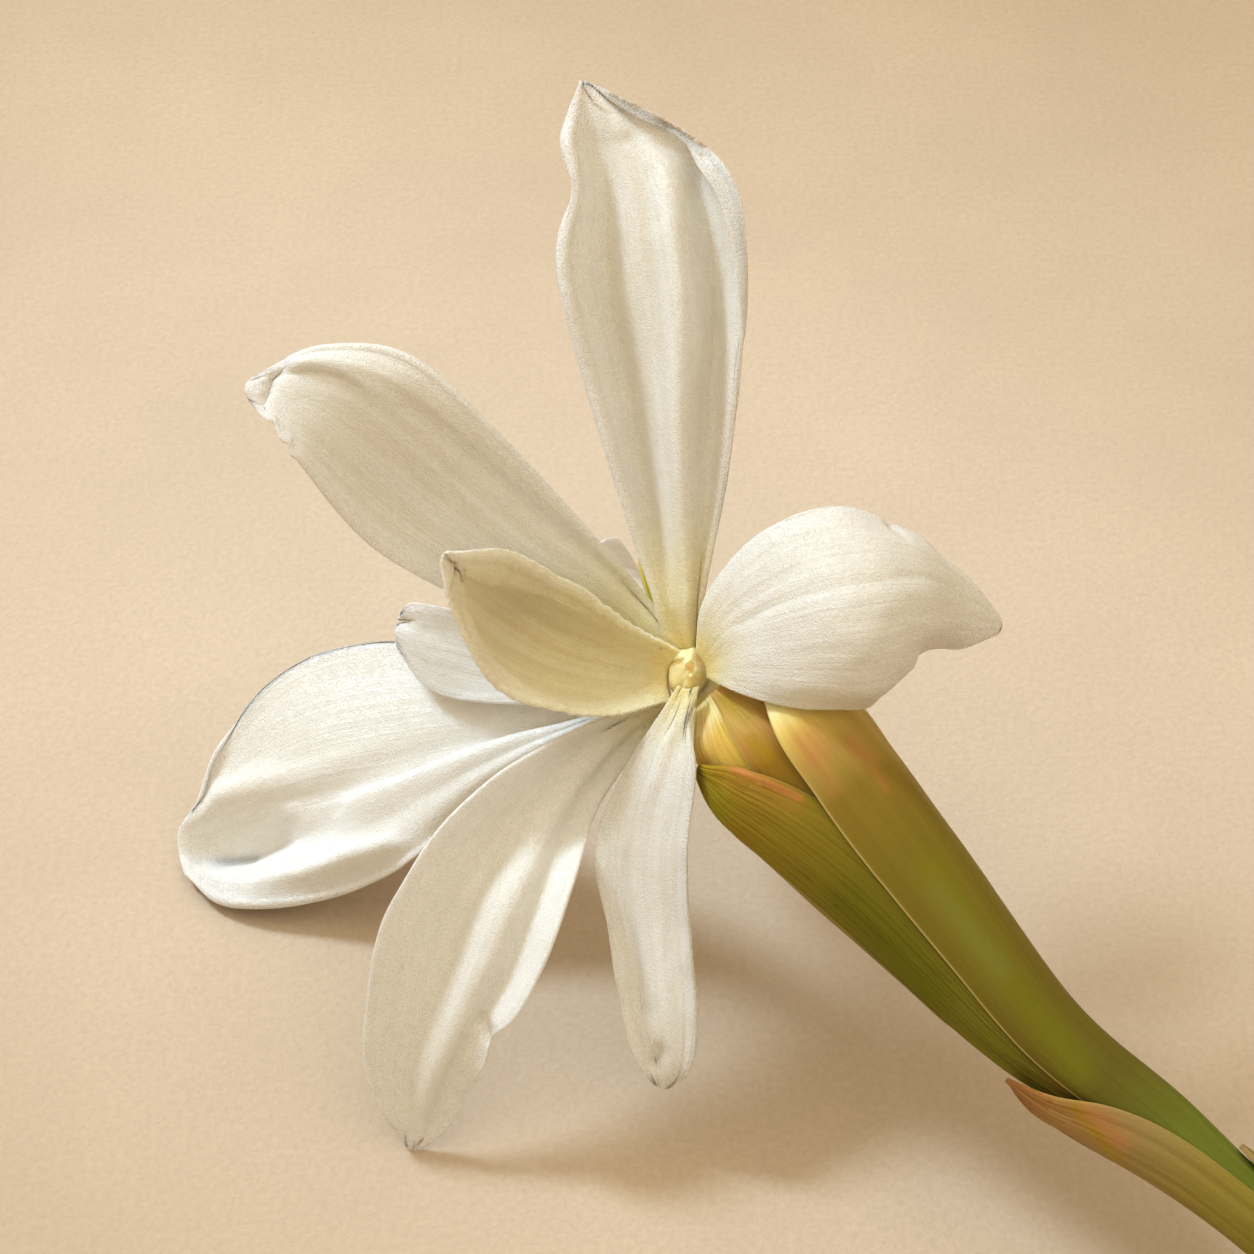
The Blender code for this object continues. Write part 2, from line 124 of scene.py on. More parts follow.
# Patterns of random relief: hills to a unit across, their shift, and hills to a unit along.
BROAD_WRINKLES, FINE_WRINKLES, RUFFLES = (2.2, 9, 5), (6, 9, 14), (1.5, 5, 15)
VEIN_DRIFT, VEINS, FINE_VEINS = (3, 7, 4), (14, 20, 2.5), (29, 40, 4)
BRACT_RIDGES, FINE_RIDGES, BRACT_WRINKLES = (46, 0, 2), (90, 0, 3), (5, 0, 7)
THROAT_FOLDS, THROAT_CREASES, THROAT_RIM = (8, 16, 1.1), (20, 40, 2), (5, 10, 1)
STEM_LINES = (12, 24, 3)

# The sheath and the stem follow one curve from the throat down to the cut end.
AXIS = [(0, -0.5, -2), (6.2, -6.6, 1), (18.1, -19.6, 7), (29.6, -32.3, 13),
        (41.2, -40.9, 18), (52, -49.5, 22), (72.2, -65.3, 23.8)]
# Distance along that curve, then the radius there.
SHEATH_PROFILE = [(0, 2.6), (4, 5.2), (8, 7.9), (12, 9.2), (18, 8.8), (26, 7.9),
                  (40, 6.2), (50, 4.9), (60, 4.0), (70, 3.1), (80, 3.2), (95, 3.9)]
STEM_PROFILE = [(31, 2.9), (48, 2.3), (60, 1.9), (76, 1.8), (86, 2.6), (94, 3.4), (110, 3.6)]
# The throat: its mouth faces out, and its tube turns back and runs on inside the sheath.
THROAT_ROUTE = [(0, 0.2, 1.2), (0, 0.1, 0.6), (0, 0, 0), (-0.1, -0.2, -1), (0, -0.5, -2.4),
                (1, -1.4, -3), (3, -3.2, -2.2), (6.5, -6.3, 0.4), (14, -14, 4.4), (19.5, -20.2, 7.4)]
THROAT_PROFILE = [(0, 0.5), (0.5, 0.85), (1.3, 1.5), (3, 2.1), (5, 2.1), (8, 1.8), (14, 1.5),
                  (34, 1.7)]
THROAT_REFERENCE = (0.5, 0.8, 0.3)        # never along the tube, so its rings don't twist

# Each petal is a sheet between a left margin, a rib and a right margin, all from
# the throat to the tip. Places on it are across, from -1 at the left margin to 1
# at the right one, and along, from 0 at the throat to 1 at the tip. Heights are
# millimetres towards the viewer, but for those of folds.
#   folds       (across, half width, height), towards the sheet's own front
#   tilt, lift  (along, height): the right margin raised, or the whole width
#   marks       ((half width on the left, on the right), [(across, along, height), ...])
#   lips        {margin: [(along, height), ...]}, from lip_share of the way across
#   rolls       {margin: (start, bend, [(along, reach, degrees), ...])}
#   trim        {margin: [(along, millimetres added), ...]}; tip_trim is the tip's own
#   wilt        (reach, strength, [(across, along), ...])
#   leafy       dressed as a bract, with its bands and stains
# What a petal doesn't say, it has from here.
PLAIN_PETAL = {
    "folds": [], "tilt": [(0, 0)], "lift": [(0, 0)], "marks": [], "lips": {}, "rolls": {}, "trim": {},
    "tip_trim": [(0, 0)], "wilt": [], "leafy": False, "lip_share": 0.7, "pleats": 0.0, "wrinkle": 0.2,
    "ruffle": 0.2, "vein_tint": 0.14, "warm_reach": 0.020, "warmth": 0.9, "tint": (1.0, 1.0, 1.0),
}
PETALS = {
    "upper_petal": {
        "left": [(-0.8, 1.8, -0.6), (-2.6, 3.6, 0), (-3.6, 8, 1.0), (-7, 18, 1.5), (-10.8, 30, 1.5),
            (-12.5, 38, 1.5), (-11.4, 44.5, 0.5), (-12, 50, -0.5), (-10.3, 55, -2)],
        "rib": [(0, 1.8, -0.8), (-0.7, 7.4, 0.5), (-1.7, 18, 1), (-2.8, 30, 1), (-4, 38, 0.5),
            (-5, 45, -0.5), (-7.3, 50, -1.5), (-9.9, 55.2, -2)],
        "right": [(0.7, 1.8, -0.6), (1.4, 7.3, 1.0), (3.6, 18, 1.5), (5, 30, 2), (5.3, 38, 2),
            (4.2, 45, 1.5), (-0.2, 49.8, 0), (-9.5, 54.9, -2)],
        "folds": [(-0.45, 0.3, -1.2), (0.25, 0.25, 0.8), (0.62, 0.25, -1.2)],
        "tilt": [(0, 0), (0.35, 0.4), (0.6, 0), (0.8, -0.7), (1, -0.2)],
        "marks": [
            ((1.9, 1.3), [(-0.78, 0.06, -0.3), (-0.7, 0.13, -0.7), (-0.5, 0.23, -1.2), (-0.47, 0.35, -1.6),
                (-0.46, 0.5, -1.7), (-0.44, 0.61, -1.7), (-0.39, 0.76, -1.3), (-0.26, 0.88, -0.5)]),
            ((1.6, 2.0), [(-0.06, 0.09, 0.4), (0.09, 0.22, 0.9), (0.14, 0.39, 1.4), (0.28, 0.58, 1.4),
                (0.35, 0.71, 1.2), (0.5, 0.8, 0.9), (0.55, 0.86, 0.3)]),
            ((1.2, 1.2), [(0.43, 0.12, -0.3), (0.45, 0.22, -0.6), (0.51, 0.38, -1.0), (0.56, 0.47, -1.1),
                (0.62, 0.58, -1.1), (0.62, 0.68, -0.8), (0.74, 0.77, -1.3), (0.8, 0.84, -0.6)]),
            ((0.9, 0.9), [(0.25, 0.87, -0.5), (0.2, 0.8, -0.6), (0.15, 0.72, -0.2)]),
        ],
        "lips": {
            "left": [(0, 0), (0.12, 0.5), (0.3, 1.0), (0.5, 1.2), (0.7, 1.1), (0.78, 0.4), (0.88, 0.8),
                (1, 0)],
            "right": [(0, 0), (0.2, 0.5), (0.5, 1.0), (0.7, 1.0), (0.85, 0.4), (1, 0)],
        },
        "rolls": {
            "left": (0.86, 1.0, [(0, 0.3, -10), (0.1, 0.5, -50), (0.5, 1.0, -70), (0.7, 1.0, -70),
                (0.78, 0.7, -15), (0.82, 0.7, -15), (0.87, 1.2, -75), (0.95, 0.8, -30), (1, 0.2, 0)]),
            "right": (0.8, 0.3, [(0, 0.2, 0), (0.2, 0.5, 10), (0.42, 0.8, 30), (0.52, 1.1, 120),
                (0.62, 1.8, 165), (0.72, 2.4, 172), (0.78, 2.2, 172), (0.81, 1.3, 172), (0.9, 1.2, 172),
                (0.96, 0.8, 160), (1, 0.2, 90)]),
        },
        "trim": {
            "left": [(0.7, 0), (0.74, 0.1), (0.78, -0.3), (0.81, -0.3), (0.835, 0.1), (0.87, 0.3),
                (0.91, 0.05), (0.925, -0.2), (0.95, 0.0), (1, 0)],
        },
        "wilt": [
            (0.18, 1.0, [(-0.4, 1.0), (0.4, 1.0)]),
            (0.12, 0.9, [(-0.34, 0.985), (-0.05, 0.955)]),
            (0.08, 0.8, [(-0.05, 0.955), (0.23, 0.93)]),
            (0.13, 0.85, [(1.0, 0.78), (1.0, 0.84), (1.0, 0.9), (1.0, 0.96)]),
            (0.15, 0.6, [(-1.0, 0.79), (-1.0, 0.835)]),
            (0.09, 0.7, [(0.89, 0.785), (0.99, 0.77)]),
        ],
        "seed": 11, "vein_tint": 0.2,
    },
    "upper_left_petal": {
        "left": [(-1.6, 2.8, -2), (-2.9, 5.4, -2.4), (-6, 9.3, -2.5), (-12, 15.8, 0), (-18.8, 22.4, 3),
            (-26.2, 28.4, 5), (-34, 29.8, 4.5), (-40.2, 27, 4.2)],
        "rib": [(-1.6, 2.1, -2.2), (-7.7, 6.7, -3.5), (-16, 11, -2), (-24.7, 17.8, 1.5), (-32.6, 23.7, 4.5),
            (-38, 25.5, 5), (-41, 25.8, 4.5)],
        "right": [(-1.5, 1.4, -2.6), (-9.8, 3.5, -5.5), (-19.5, 6, -3.5), (-29.4, 11.3, 2.5),
            (-35.7, 18.5, 6), (-38.3, 22.4, 6), (-40.2, 24.6, 4.6)],
        "folds": [(-0.62, 0.2, 0.8)],
        "tilt": [(0, 0), (0.5, -0.4), (0.9, -0.2), (1, 0)],
        "marks": [
            ((0.5, 1.5), [(-0.54, 0.945, 0.2), (-0.68, 0.92, 0.6), (-0.69, 0.89, 0.8), (-0.64, 0.85, 0.9),
                (-0.61, 0.81, 0.8), (-0.53, 0.76, 0.5), (-0.54, 0.71, 0.2)]),
            ((0.4, 0.6), [(-0.71, 0.93, -0.5), (-0.45, 0.95, -0.8), (0.05, 0.952, -0.7),
                (0.61, 0.96, -0.4)]),
        ],
        "lips": {
            "left": [(0.2, 0), (0.4, -0.6), (0.6, -1.4), (0.8, -1.9), (0.92, -1.2), (1, 0)],
            "right": [(0.4, 0), (0.6, 0.5), (0.9, 0.7), (1, 0)],
        },
        "rolls": {"left": (0.9, 1.0, [(0, 0.3, 0), (0.4, 0.6, -60), (0.9, 0.8, -70), (1, 0.2, 0)])},
        "trim": {
            "right": [(0.86, 0), (0.875, 0.25), (0.885, -0.2), (0.9, 0.25), (0.915, 0.2), (0.93, -0.35),
                (0.945, 0.1), (0.97, 0.2), (1, 0)],
        },
        "seed": 12, "vein_tint": 0.16,
    },
    "hooded_petal": {
        "left": [(-0.9, 1.7, 0.8), (-5.4, 4.6, 1), (-10.7, 7.9, 3), (-15, 10.1, 4.5), (-19, 10.8, 6),
            (-21.2, 10.7, 7), (-22.1, 10.9, 7)],
        "rib": [(-2.1, -0.4, -0.8), (-6.3, 0.2, -3), (-12.2, 1.8, -4), (-16.8, 4.5, -3), (-20.4, 7.2, 1.5),
            (-21.8, 9.4, 5.5), (-22.7, 10.5, 7)],
        "right": [(-1.6, -3, -0.4), (-6.8, -4, 2), (-12.2, -3.8, 4), (-17.3, -1.8, 5), (-20.7, 2.8, 6),
            (-22.2, 7.2, 7), (-22.8, 9.6, 7)],
        "marks": [
            ((0.4, 1.2), [(-0.25, 0.89, 0.2), (-0.39, 0.78, 0.4), (-0.55, 0.65, 0.5), (-0.75, 0.52, 0.5),
                (-0.78, 0.35, 0.5), (-0.82, 0.24, 0.4), (-0.81, 0.11, 0.2)]),
            ((0.8, 0.4), [(-0.09, 0.87, 0.2), (0.46, 0.78, 0.4), (0.74, 0.7, 0.5), (0.79, 0.61, 0.5),
                (0.86, 0.5, 0.4), (0.91, 0.37, 0.2)]),
            ((0.3, 0.3), [(-0.3, 0.94, -0.3), (-0.19, 0.93, -0.5), (0.35, 0.9, -0.6), (0.71, 0.9, -0.4)]),
        ],
        "lips": {"left": [(0, 0), (0.3, -0.2), (0.8, -0.3), (1, 0)]},
        "rolls": {
            "left": (0.8, 1.4, [(0, 0.3, 0), (0.2, 1.0, -50), (0.6, 1.7, -70), (0.9, 1.3, -60),
                (1, 0.3, 0)]),
            "right": (0.9, 1.0, [(0, 0.3, 0), (0.3, 0.5, -60), (0.8, 0.6, -80), (1, 0.2, 0)]),
        },
        "trim": {"left": [(0.2, 0), (0.5, -0.3), (0.9, -0.4), (1, 0)]},
        "wilt": [
            (0.15, 0.7, [(-0.4, 1.0), (-0.2, 0.97), (-0.16, 0.9)]),
            (0.12, 0.6, [(-0.1, 0.88), (0.0, 0.85)]),
        ],
        "lip_share": 0.6, "seed": 13, "warm_reach": 0.026, "warmth": 0.7, "vein_tint": 0.24,
        # Painted shade: this tint turns the hood's white golden and duller, standing for the shade inside
        # its cup.
        "tint": (1.0, 0.93, 0.8), "pleats": 0.07,
    },
    "small_left_petal": {
        "left": [(-1.9, -0.6, -3), (-8.4, 1.3, -7), (-16.2, 4.5, -11), (-23, 5.8, -14), (-26.8, 6.4, -16),
            (-28.1, 5.4, -17)],
        "rib": [(-2.0, -1.2, -3.2), (-8.4, -1.1, -8), (-16.2, 0.3, -12), (-23, 1.8, -14.5),
            (-26.6, 2.7, -16), (-28.5, 3.6, -17)],
        "right": [(-2.0, -1.8, -3.2), (-8.4, -3, -7), (-14.2, -3.4, -9.5), (-21.4, -3.1, -13),
            (-25.7, -1.7, -15.5), (-28.3, 2, -17)],
        "marks": [
            ((0.5, 0.5), [(-0.55, 1.0, -0.5), (-0.52, 0.97, -0.5), (-0.45, 0.94, -0.2)]),
            ((1.2, 1.2), [(-0.5, 0.95, -0.3), (-0.3, 0.7, -0.2)]),
        ],
        "tip_trim": [(-1, 0.2), (-0.8, 0.5), (-0.62, 0.1), (-0.55, -0.7), (-0.48, 0), (-0.3, 0.5),
            (0.3, 0.6), (1, 0)],
        "wilt": [(0.1, 0.6, [(-0.45, 0.945), (-0.42, 0.94)])],
        "seed": 14, "vein_tint": 0.12,
    },
    "left_petal": {
        "left": [(-1.9, -1.6, -4.1), (-11.8, -2.3, -11.6), (-20.3, -0.2, -17.6), (-28.6, 2.4, -22),
            (-38.7, -0.5, -25.5), (-46.7, -8.2, -26.2), (-50.2, -14.6, -25.2)],
        "rib": [(-1.8, -2, -4.2), (-11.6, -5.1, -9), (-20.2, -8, -12.5), (-29.4, -11.9, -15.5),
            (-39.7, -14.6, -21), (-46.6, -17.3, -24.8), (-50.9, -17.6, -25.2)],
        "right": [(-1.7, -2.4, -4.1), (-11.3, -6.4, -8.5), (-19, -11.6, -10.5), (-27.6, -17, -11.5),
            (-35.8, -21.1, -15.5), (-44.9, -22.2, -18.8), (-49.9, -20.5, -22.5)],
        "folds": [(-0.2, 0.25, 0.8), (0.3, 0.2, 0.8)],
        "tilt": [(0, 0), (0.4, 0), (0.8, -1.5), (1, -0.4)],
        "marks": [
            ((1.6, 1.8), [(-0.31, 0.985, 0.4), (-0.5, 0.95, 1.0), (-0.5, 0.9, 1.4), (-0.39, 0.85, 1.4),
                (-0.27, 0.73, 0.9), (-0.31, 0.57, 0.3)]),
            ((1.7, 1.7), [(0.2, 0.95, -1.0), (0.15, 0.89, -3.2), (0.12, 0.83, -3.2), (0.18, 0.75, -1.4),
                (0.12, 0.68, -1.0), (0.08, 0.64, -0.5)]),
            ((2.4, 0.8), [(0.04, 0.64, 0.6), (0.0, 0.6, 1.1), (-0.02, 0.55, 1.3), (0, 0.43, 1.2),
                (0.06, 0.3, 0.9), (0.24, 0.17, 0.4)]),
            ((1.0, 2.4), [(-0.1, 0.74, -0.5), (-0.15, 0.57, -1.0), (-0.15, 0.43, -1.1), (-0.2, 0.29, -0.9),
                (-0.1, 0.17, -0.4)]),
            ((1.2, 1.0), [(0.6, 0.98, 0.2), (0.68, 0.95, 0.4), (0.75, 0.86, 0.6), (0.71, 0.76, 1.3),
                (0.61, 0.66, 1.2), (0.66, 0.58, 0.9), (0.8, 0.52, 0.3)]),
        ],
        "lips": {"right": [(0.1, 0), (0.25, -0.9), (0.45, -1.5), (0.65, -1.2), (0.8, -0.3), (1, 0)]},
        "rolls": {
            "left": (0.88, 0.8, [(0, 0.2, 0), (0.35, 0.2, -5), (0.55, 0.2, -5), (0.8, 0.2, -5),
                (0.9, 1.2, 80), (0.96, 1.0, 60), (1, 0.3, 20)]),
            "right": (0.92, 1.0, [(0, 0.3, 0), (0.3, 0.4, 0), (0.6, 0.6, -60), (0.95, 0.7, -70),
                (1, 0.2, 0)]),
        },
        "seed": 15, "lip_share": 0.35, "vein_tint": 0.1, "warm_reach": 0.014,
    },
    "lower_left_petal": {
        "left": [(-2, -2.4, -2.4), (-8.8, -6.3, 1), (-16.8, -11.8, 5.1), (-22.9, -19.1, 7.8),
            (-27.1, -26.5, 8.4), (-29.5, -34.7, 6.2), (-28.5, -40.6, 3), (-26.6, -44.4, -0.5)],
        "rib": [(-1.7, -2.7, -2.8), (-7.7, -7.3, -2), (-14.2, -13.6, 1.6), (-19, -21.1, 4.7),
            (-22.6, -30.3, 4.8), (-25, -36.1, 3.6), (-25.9, -41.2, 1.4), (-25.9, -44.7, -0.5)],
        "right": [(-1.3, -3, -2.4), (-5.8, -8.7, -2.6), (-10, -15, -1.3), (-11.1, -21.2, 3.6),
            (-13.8, -28.8, 5.1), (-18.8, -35, 3.1), (-22.3, -41.7, 0.3), (-25, -44.3, -0.6)],
        "folds": [(0.55, 0.35, 1.5)],
        "tilt": [(0, 0), (0.2, 1.2), (0.4, 2.6), (0.7, 2.6), (0.9, 1.4), (1, 0.2)],
        "lift": [(0, 0), (0.3, -0.6), (0.7, -0.8), (1, 0)],
        "marks": [
            ((2.2, 0.9), [(-0.3, 0.14, -0.5), (-0.04, 0.26, -0.9), (-0.11, 0.37, -1.1), (-0.05, 0.45, -1.3),
                (0, 0.55, -1.3), (0, 0.64, -1.2), (0, 0.71, -1.1), (0.03, 0.79, -0.9), (-0.02, 0.87, -0.7),
                (-0.12, 0.95, -0.3)]),
            ((1.5, 1.3), [(0.18, 0.15, 0.3), (0.4, 0.24, 0.6), (0.39, 0.34, 1.1), (0.4, 0.42, 1.4),
                (0.38, 0.51, 1.5), (0.38, 0.6, 1.4), (0.35, 0.68, 1.2), (0.4, 0.78, 1.3), (0.36, 0.87, 1.0),
                (0.19, 0.96, 0.4)]),
            ((0.7, 0.7), [(1.0, 0.73, -0.9), (0.86, 0.72, -0.9), (0.6, 0.71, -0.3)]),
        ],
        "lips": {"right": [(0.2, 0), (0.4, 0.6), (0.55, 1.2), (0.66, 1.0), (0.73, 0), (0.8, -0.3), (1, 0)]},
        "trim": {
            "left": [(0.3, 0), (0.5, -0.5), (0.9, -0.4), (1, 0)],
            "right": [(0.6, 0), (0.68, 0.1), (0.715, -0.4), (0.735, -0.4), (0.77, 0.2), (0.85, 0), (1, 0)],
        },
        "wilt": [(0.15, 0.8, [(0.3, 0.99), (0.6, 0.975)])],
        "seed": 16, "vein_tint": 0.1, "warm_reach": 0.014,
    },
    "lower_petal": {
        "left": [(-0.9, -1.5, 1), (-2.8, -4.3, 0.8), (-6.3, -9.2, 0.6), (-9, -16.2, 1), (-7.6, -24.3, 1.8),
            (-5.8, -33.2, 2.9), (-4.3, -36.9, 3.1), (-3.2, -38.2, 2.6)],
        "rib": [(-0.2, -1.7, 1.4), (-0.8, -4.8, 2), (-2.8, -10.6, 2.6), (-4.2, -17.5, 2.6),
            (-3.5, -24.8, 3.2), (-2.8, -33.1, 3.9), (-2.5, -36.5, 3.7), (-2.5, -38.6, 2.7)],
        "right": [(0.8, -1.5, 1.2), (0.1, -5.3, 2.9), (0.7, -9.6, 4.8), (0.1, -17.5, 4.4), (0.1, -24.3, 4),
            (0.5, -32.1, 4.2), (-0.3, -36.5, 3.7), (-1.8, -38.4, 2.7)],
        "tilt": [(0, 0), (0.2, 0.3), (0.4, 0.9), (0.8, 0.7), (1, 0)],
        "marks": [
            ((0.5, 1.0), [(0.33, 0.03, 0.3), (-0.21, 0.15, 0.7), (-0.16, 0.24, 0.5), (-0.25, 0.3, 0.1)]),
            ((0.8, 0.8), [(-0.35, 0.93, -0.9), (-0.07, 0.9, -0.7)]),
            ((1.0, 1.0), [(-0.4, 0.45, -0.2), (-0.45, 0.6, -0.5), (-0.4, 0.8, -0.4)]),
        ],
        "lips": {
            "left": [(0.1, 0.3), (0.2, -0.2), (0.35, -0.3), (0.5, 0.5), (0.7, 0.9), (0.9, 0.6), (1, 0)],
            "right": [(0, 0), (0.3, 0.2), (0.6, 0.5), (0.9, 0.5), (1, 0)],
        },
        "rolls": {
            "right": (0.9, 0.8, [(0, 0.2, 0), (0.3, 0.4, 40), (0.5, 0.6, 120), (0.9, 0.6, 120),
                (1, 0.3, 30)]),
        },
        "seed": 17, "vein_tint": 0.12, "warm_reach": 0.012,
    },
    "right_petal": {
        "left": [(0.5, 1.7, 1.2), (1.4, 6.8, 3), (5.9, 12.1, 5), (12.9, 15, 6), (19.7, 13.5, 4),
            (25.9, 9, 1), (28.8, 4.9, 0)],
        "rib": [(1.4, 0.6, 1.2), (4.5, 2.8, 6), (10.6, 4.6, 11), (15.9, 5.3, 12), (21.1, 6, 9),
            (25.2, 5.1, 4), (29, 4.1, 0)],
        "right": [(1.6, -0.7, 1.2), (4.9, -2.2, 6.5), (10.8, -3.8, 9.8), (16.8, -3.9, 9.4),
            (21.2, 0.4, 5.5), (25.5, 1.6, 1.8), (28.6, 3.4, 0)],
        "marks": [
            ((1.4, 1.4), [(0.75, 0.71, -0.9), (0.8, 0.82, -0.4)]),
            ((0.5, 0.7), [(-0.95, 0.64, -0.4), (-0.8, 0.66, -0.2)]),
            ((0.5, 0.4), [(-0.24, 0.17, -0.12), (-0.26, 0.33, -0.15), (-0.27, 0.49, -0.15),
                (-0.34, 0.68, -0.12), (-0.46, 0.83, -0.05)]),
        ],
        "lips": {
            "right": [(0.2, 0), (0.3, -0.4), (0.45, -1.2), (0.62, -1.4), (0.7, -0.6), (0.8, -0.9), (1, 0)],
            "left": [(0.4, 0), (0.6, -0.5), (0.9, -0.4), (1, 0)],
        },
        "wilt": [
            (0.21, 0.9, [(-0.2, 1.0), (0.9, 1.0)]),
            (0.09, 0.4, [(-1.0, 0.38), (-1.0, 0.5)]),
            (0.09, 0.4, [(-1.0, 0.6), (-1.0, 0.67)]),
        ],
        "seed": 18, "vein_tint": 0.16, "warm_reach": 0.012, "wrinkle": 0.25,
    },
    "rear_petal": {
        "left": [(-1.5, 0.5, -3.9), (-8.5, 4.5, -11), (-10.5, 10, -17), (-7.2, 12.9, -23), (-4.6, 9.6, -28),
            (-2, 6.6, -33), (4, 5, -40), (11, 4.4, -46), (17.5, 2.9, -47.9)],
        "rib": [(-1.2, 0.9, -4.2), (-5.5, 4.6, -10), (-6.8, 8.5, -17), (-4.6, 8.6, -24), (-1.5, 5.6, -30),
            (3, 3.4, -35.5), (9, 2.4, -41), (14, 2.4, -45.2), (17.8, 2.6, -47.6)],
        "right": [(-0.8, 1.2, -4.2), (-3.2, 5.4, -10), (-3.2, 7, -17), (-1.2, 6, -24), (2.4, 3, -29.5),
            (7, 0.8, -34), (12.5, 0, -39), (16, 1, -43.5), (18, 2.4, -47.4)],
        "seed": 19, "ruffle": 0.0, "wrinkle": 0.1,
    },
    "rear_bract": {
        "left": [(0.3, 0.3, -4.9), (-1.5, 3.2, -6.1), (-3.8, 6.8, -7.3), (-4.6, 9.6, -9),
            (-4.9, 12.3, -11)],
        "rib": [(0.8, 0.4, -5.1), (-0.4, 3.4, -6.8), (-1.6, 6.8, -8), (-3, 10, -9.6), (-4.7, 12.7, -11.2)],
        "right": [(1.3, 0.2, -4.9), (1.2, 3, -6.6), (0.8, 6.6, -7.8), (-1, 10, -9.4), (-4.3, 12.5, -11)],
        "bands": [(0, (0.36, 0.37, 0.02)), (0.75, (0.62, 0.56, 0.04)), (0.95, (0.72, 0.42, 0.12))],
        "stains": [],
        "seed": 20, "ruffle": 0.0, "wrinkle": 0.05, "leafy": True,
    },
}
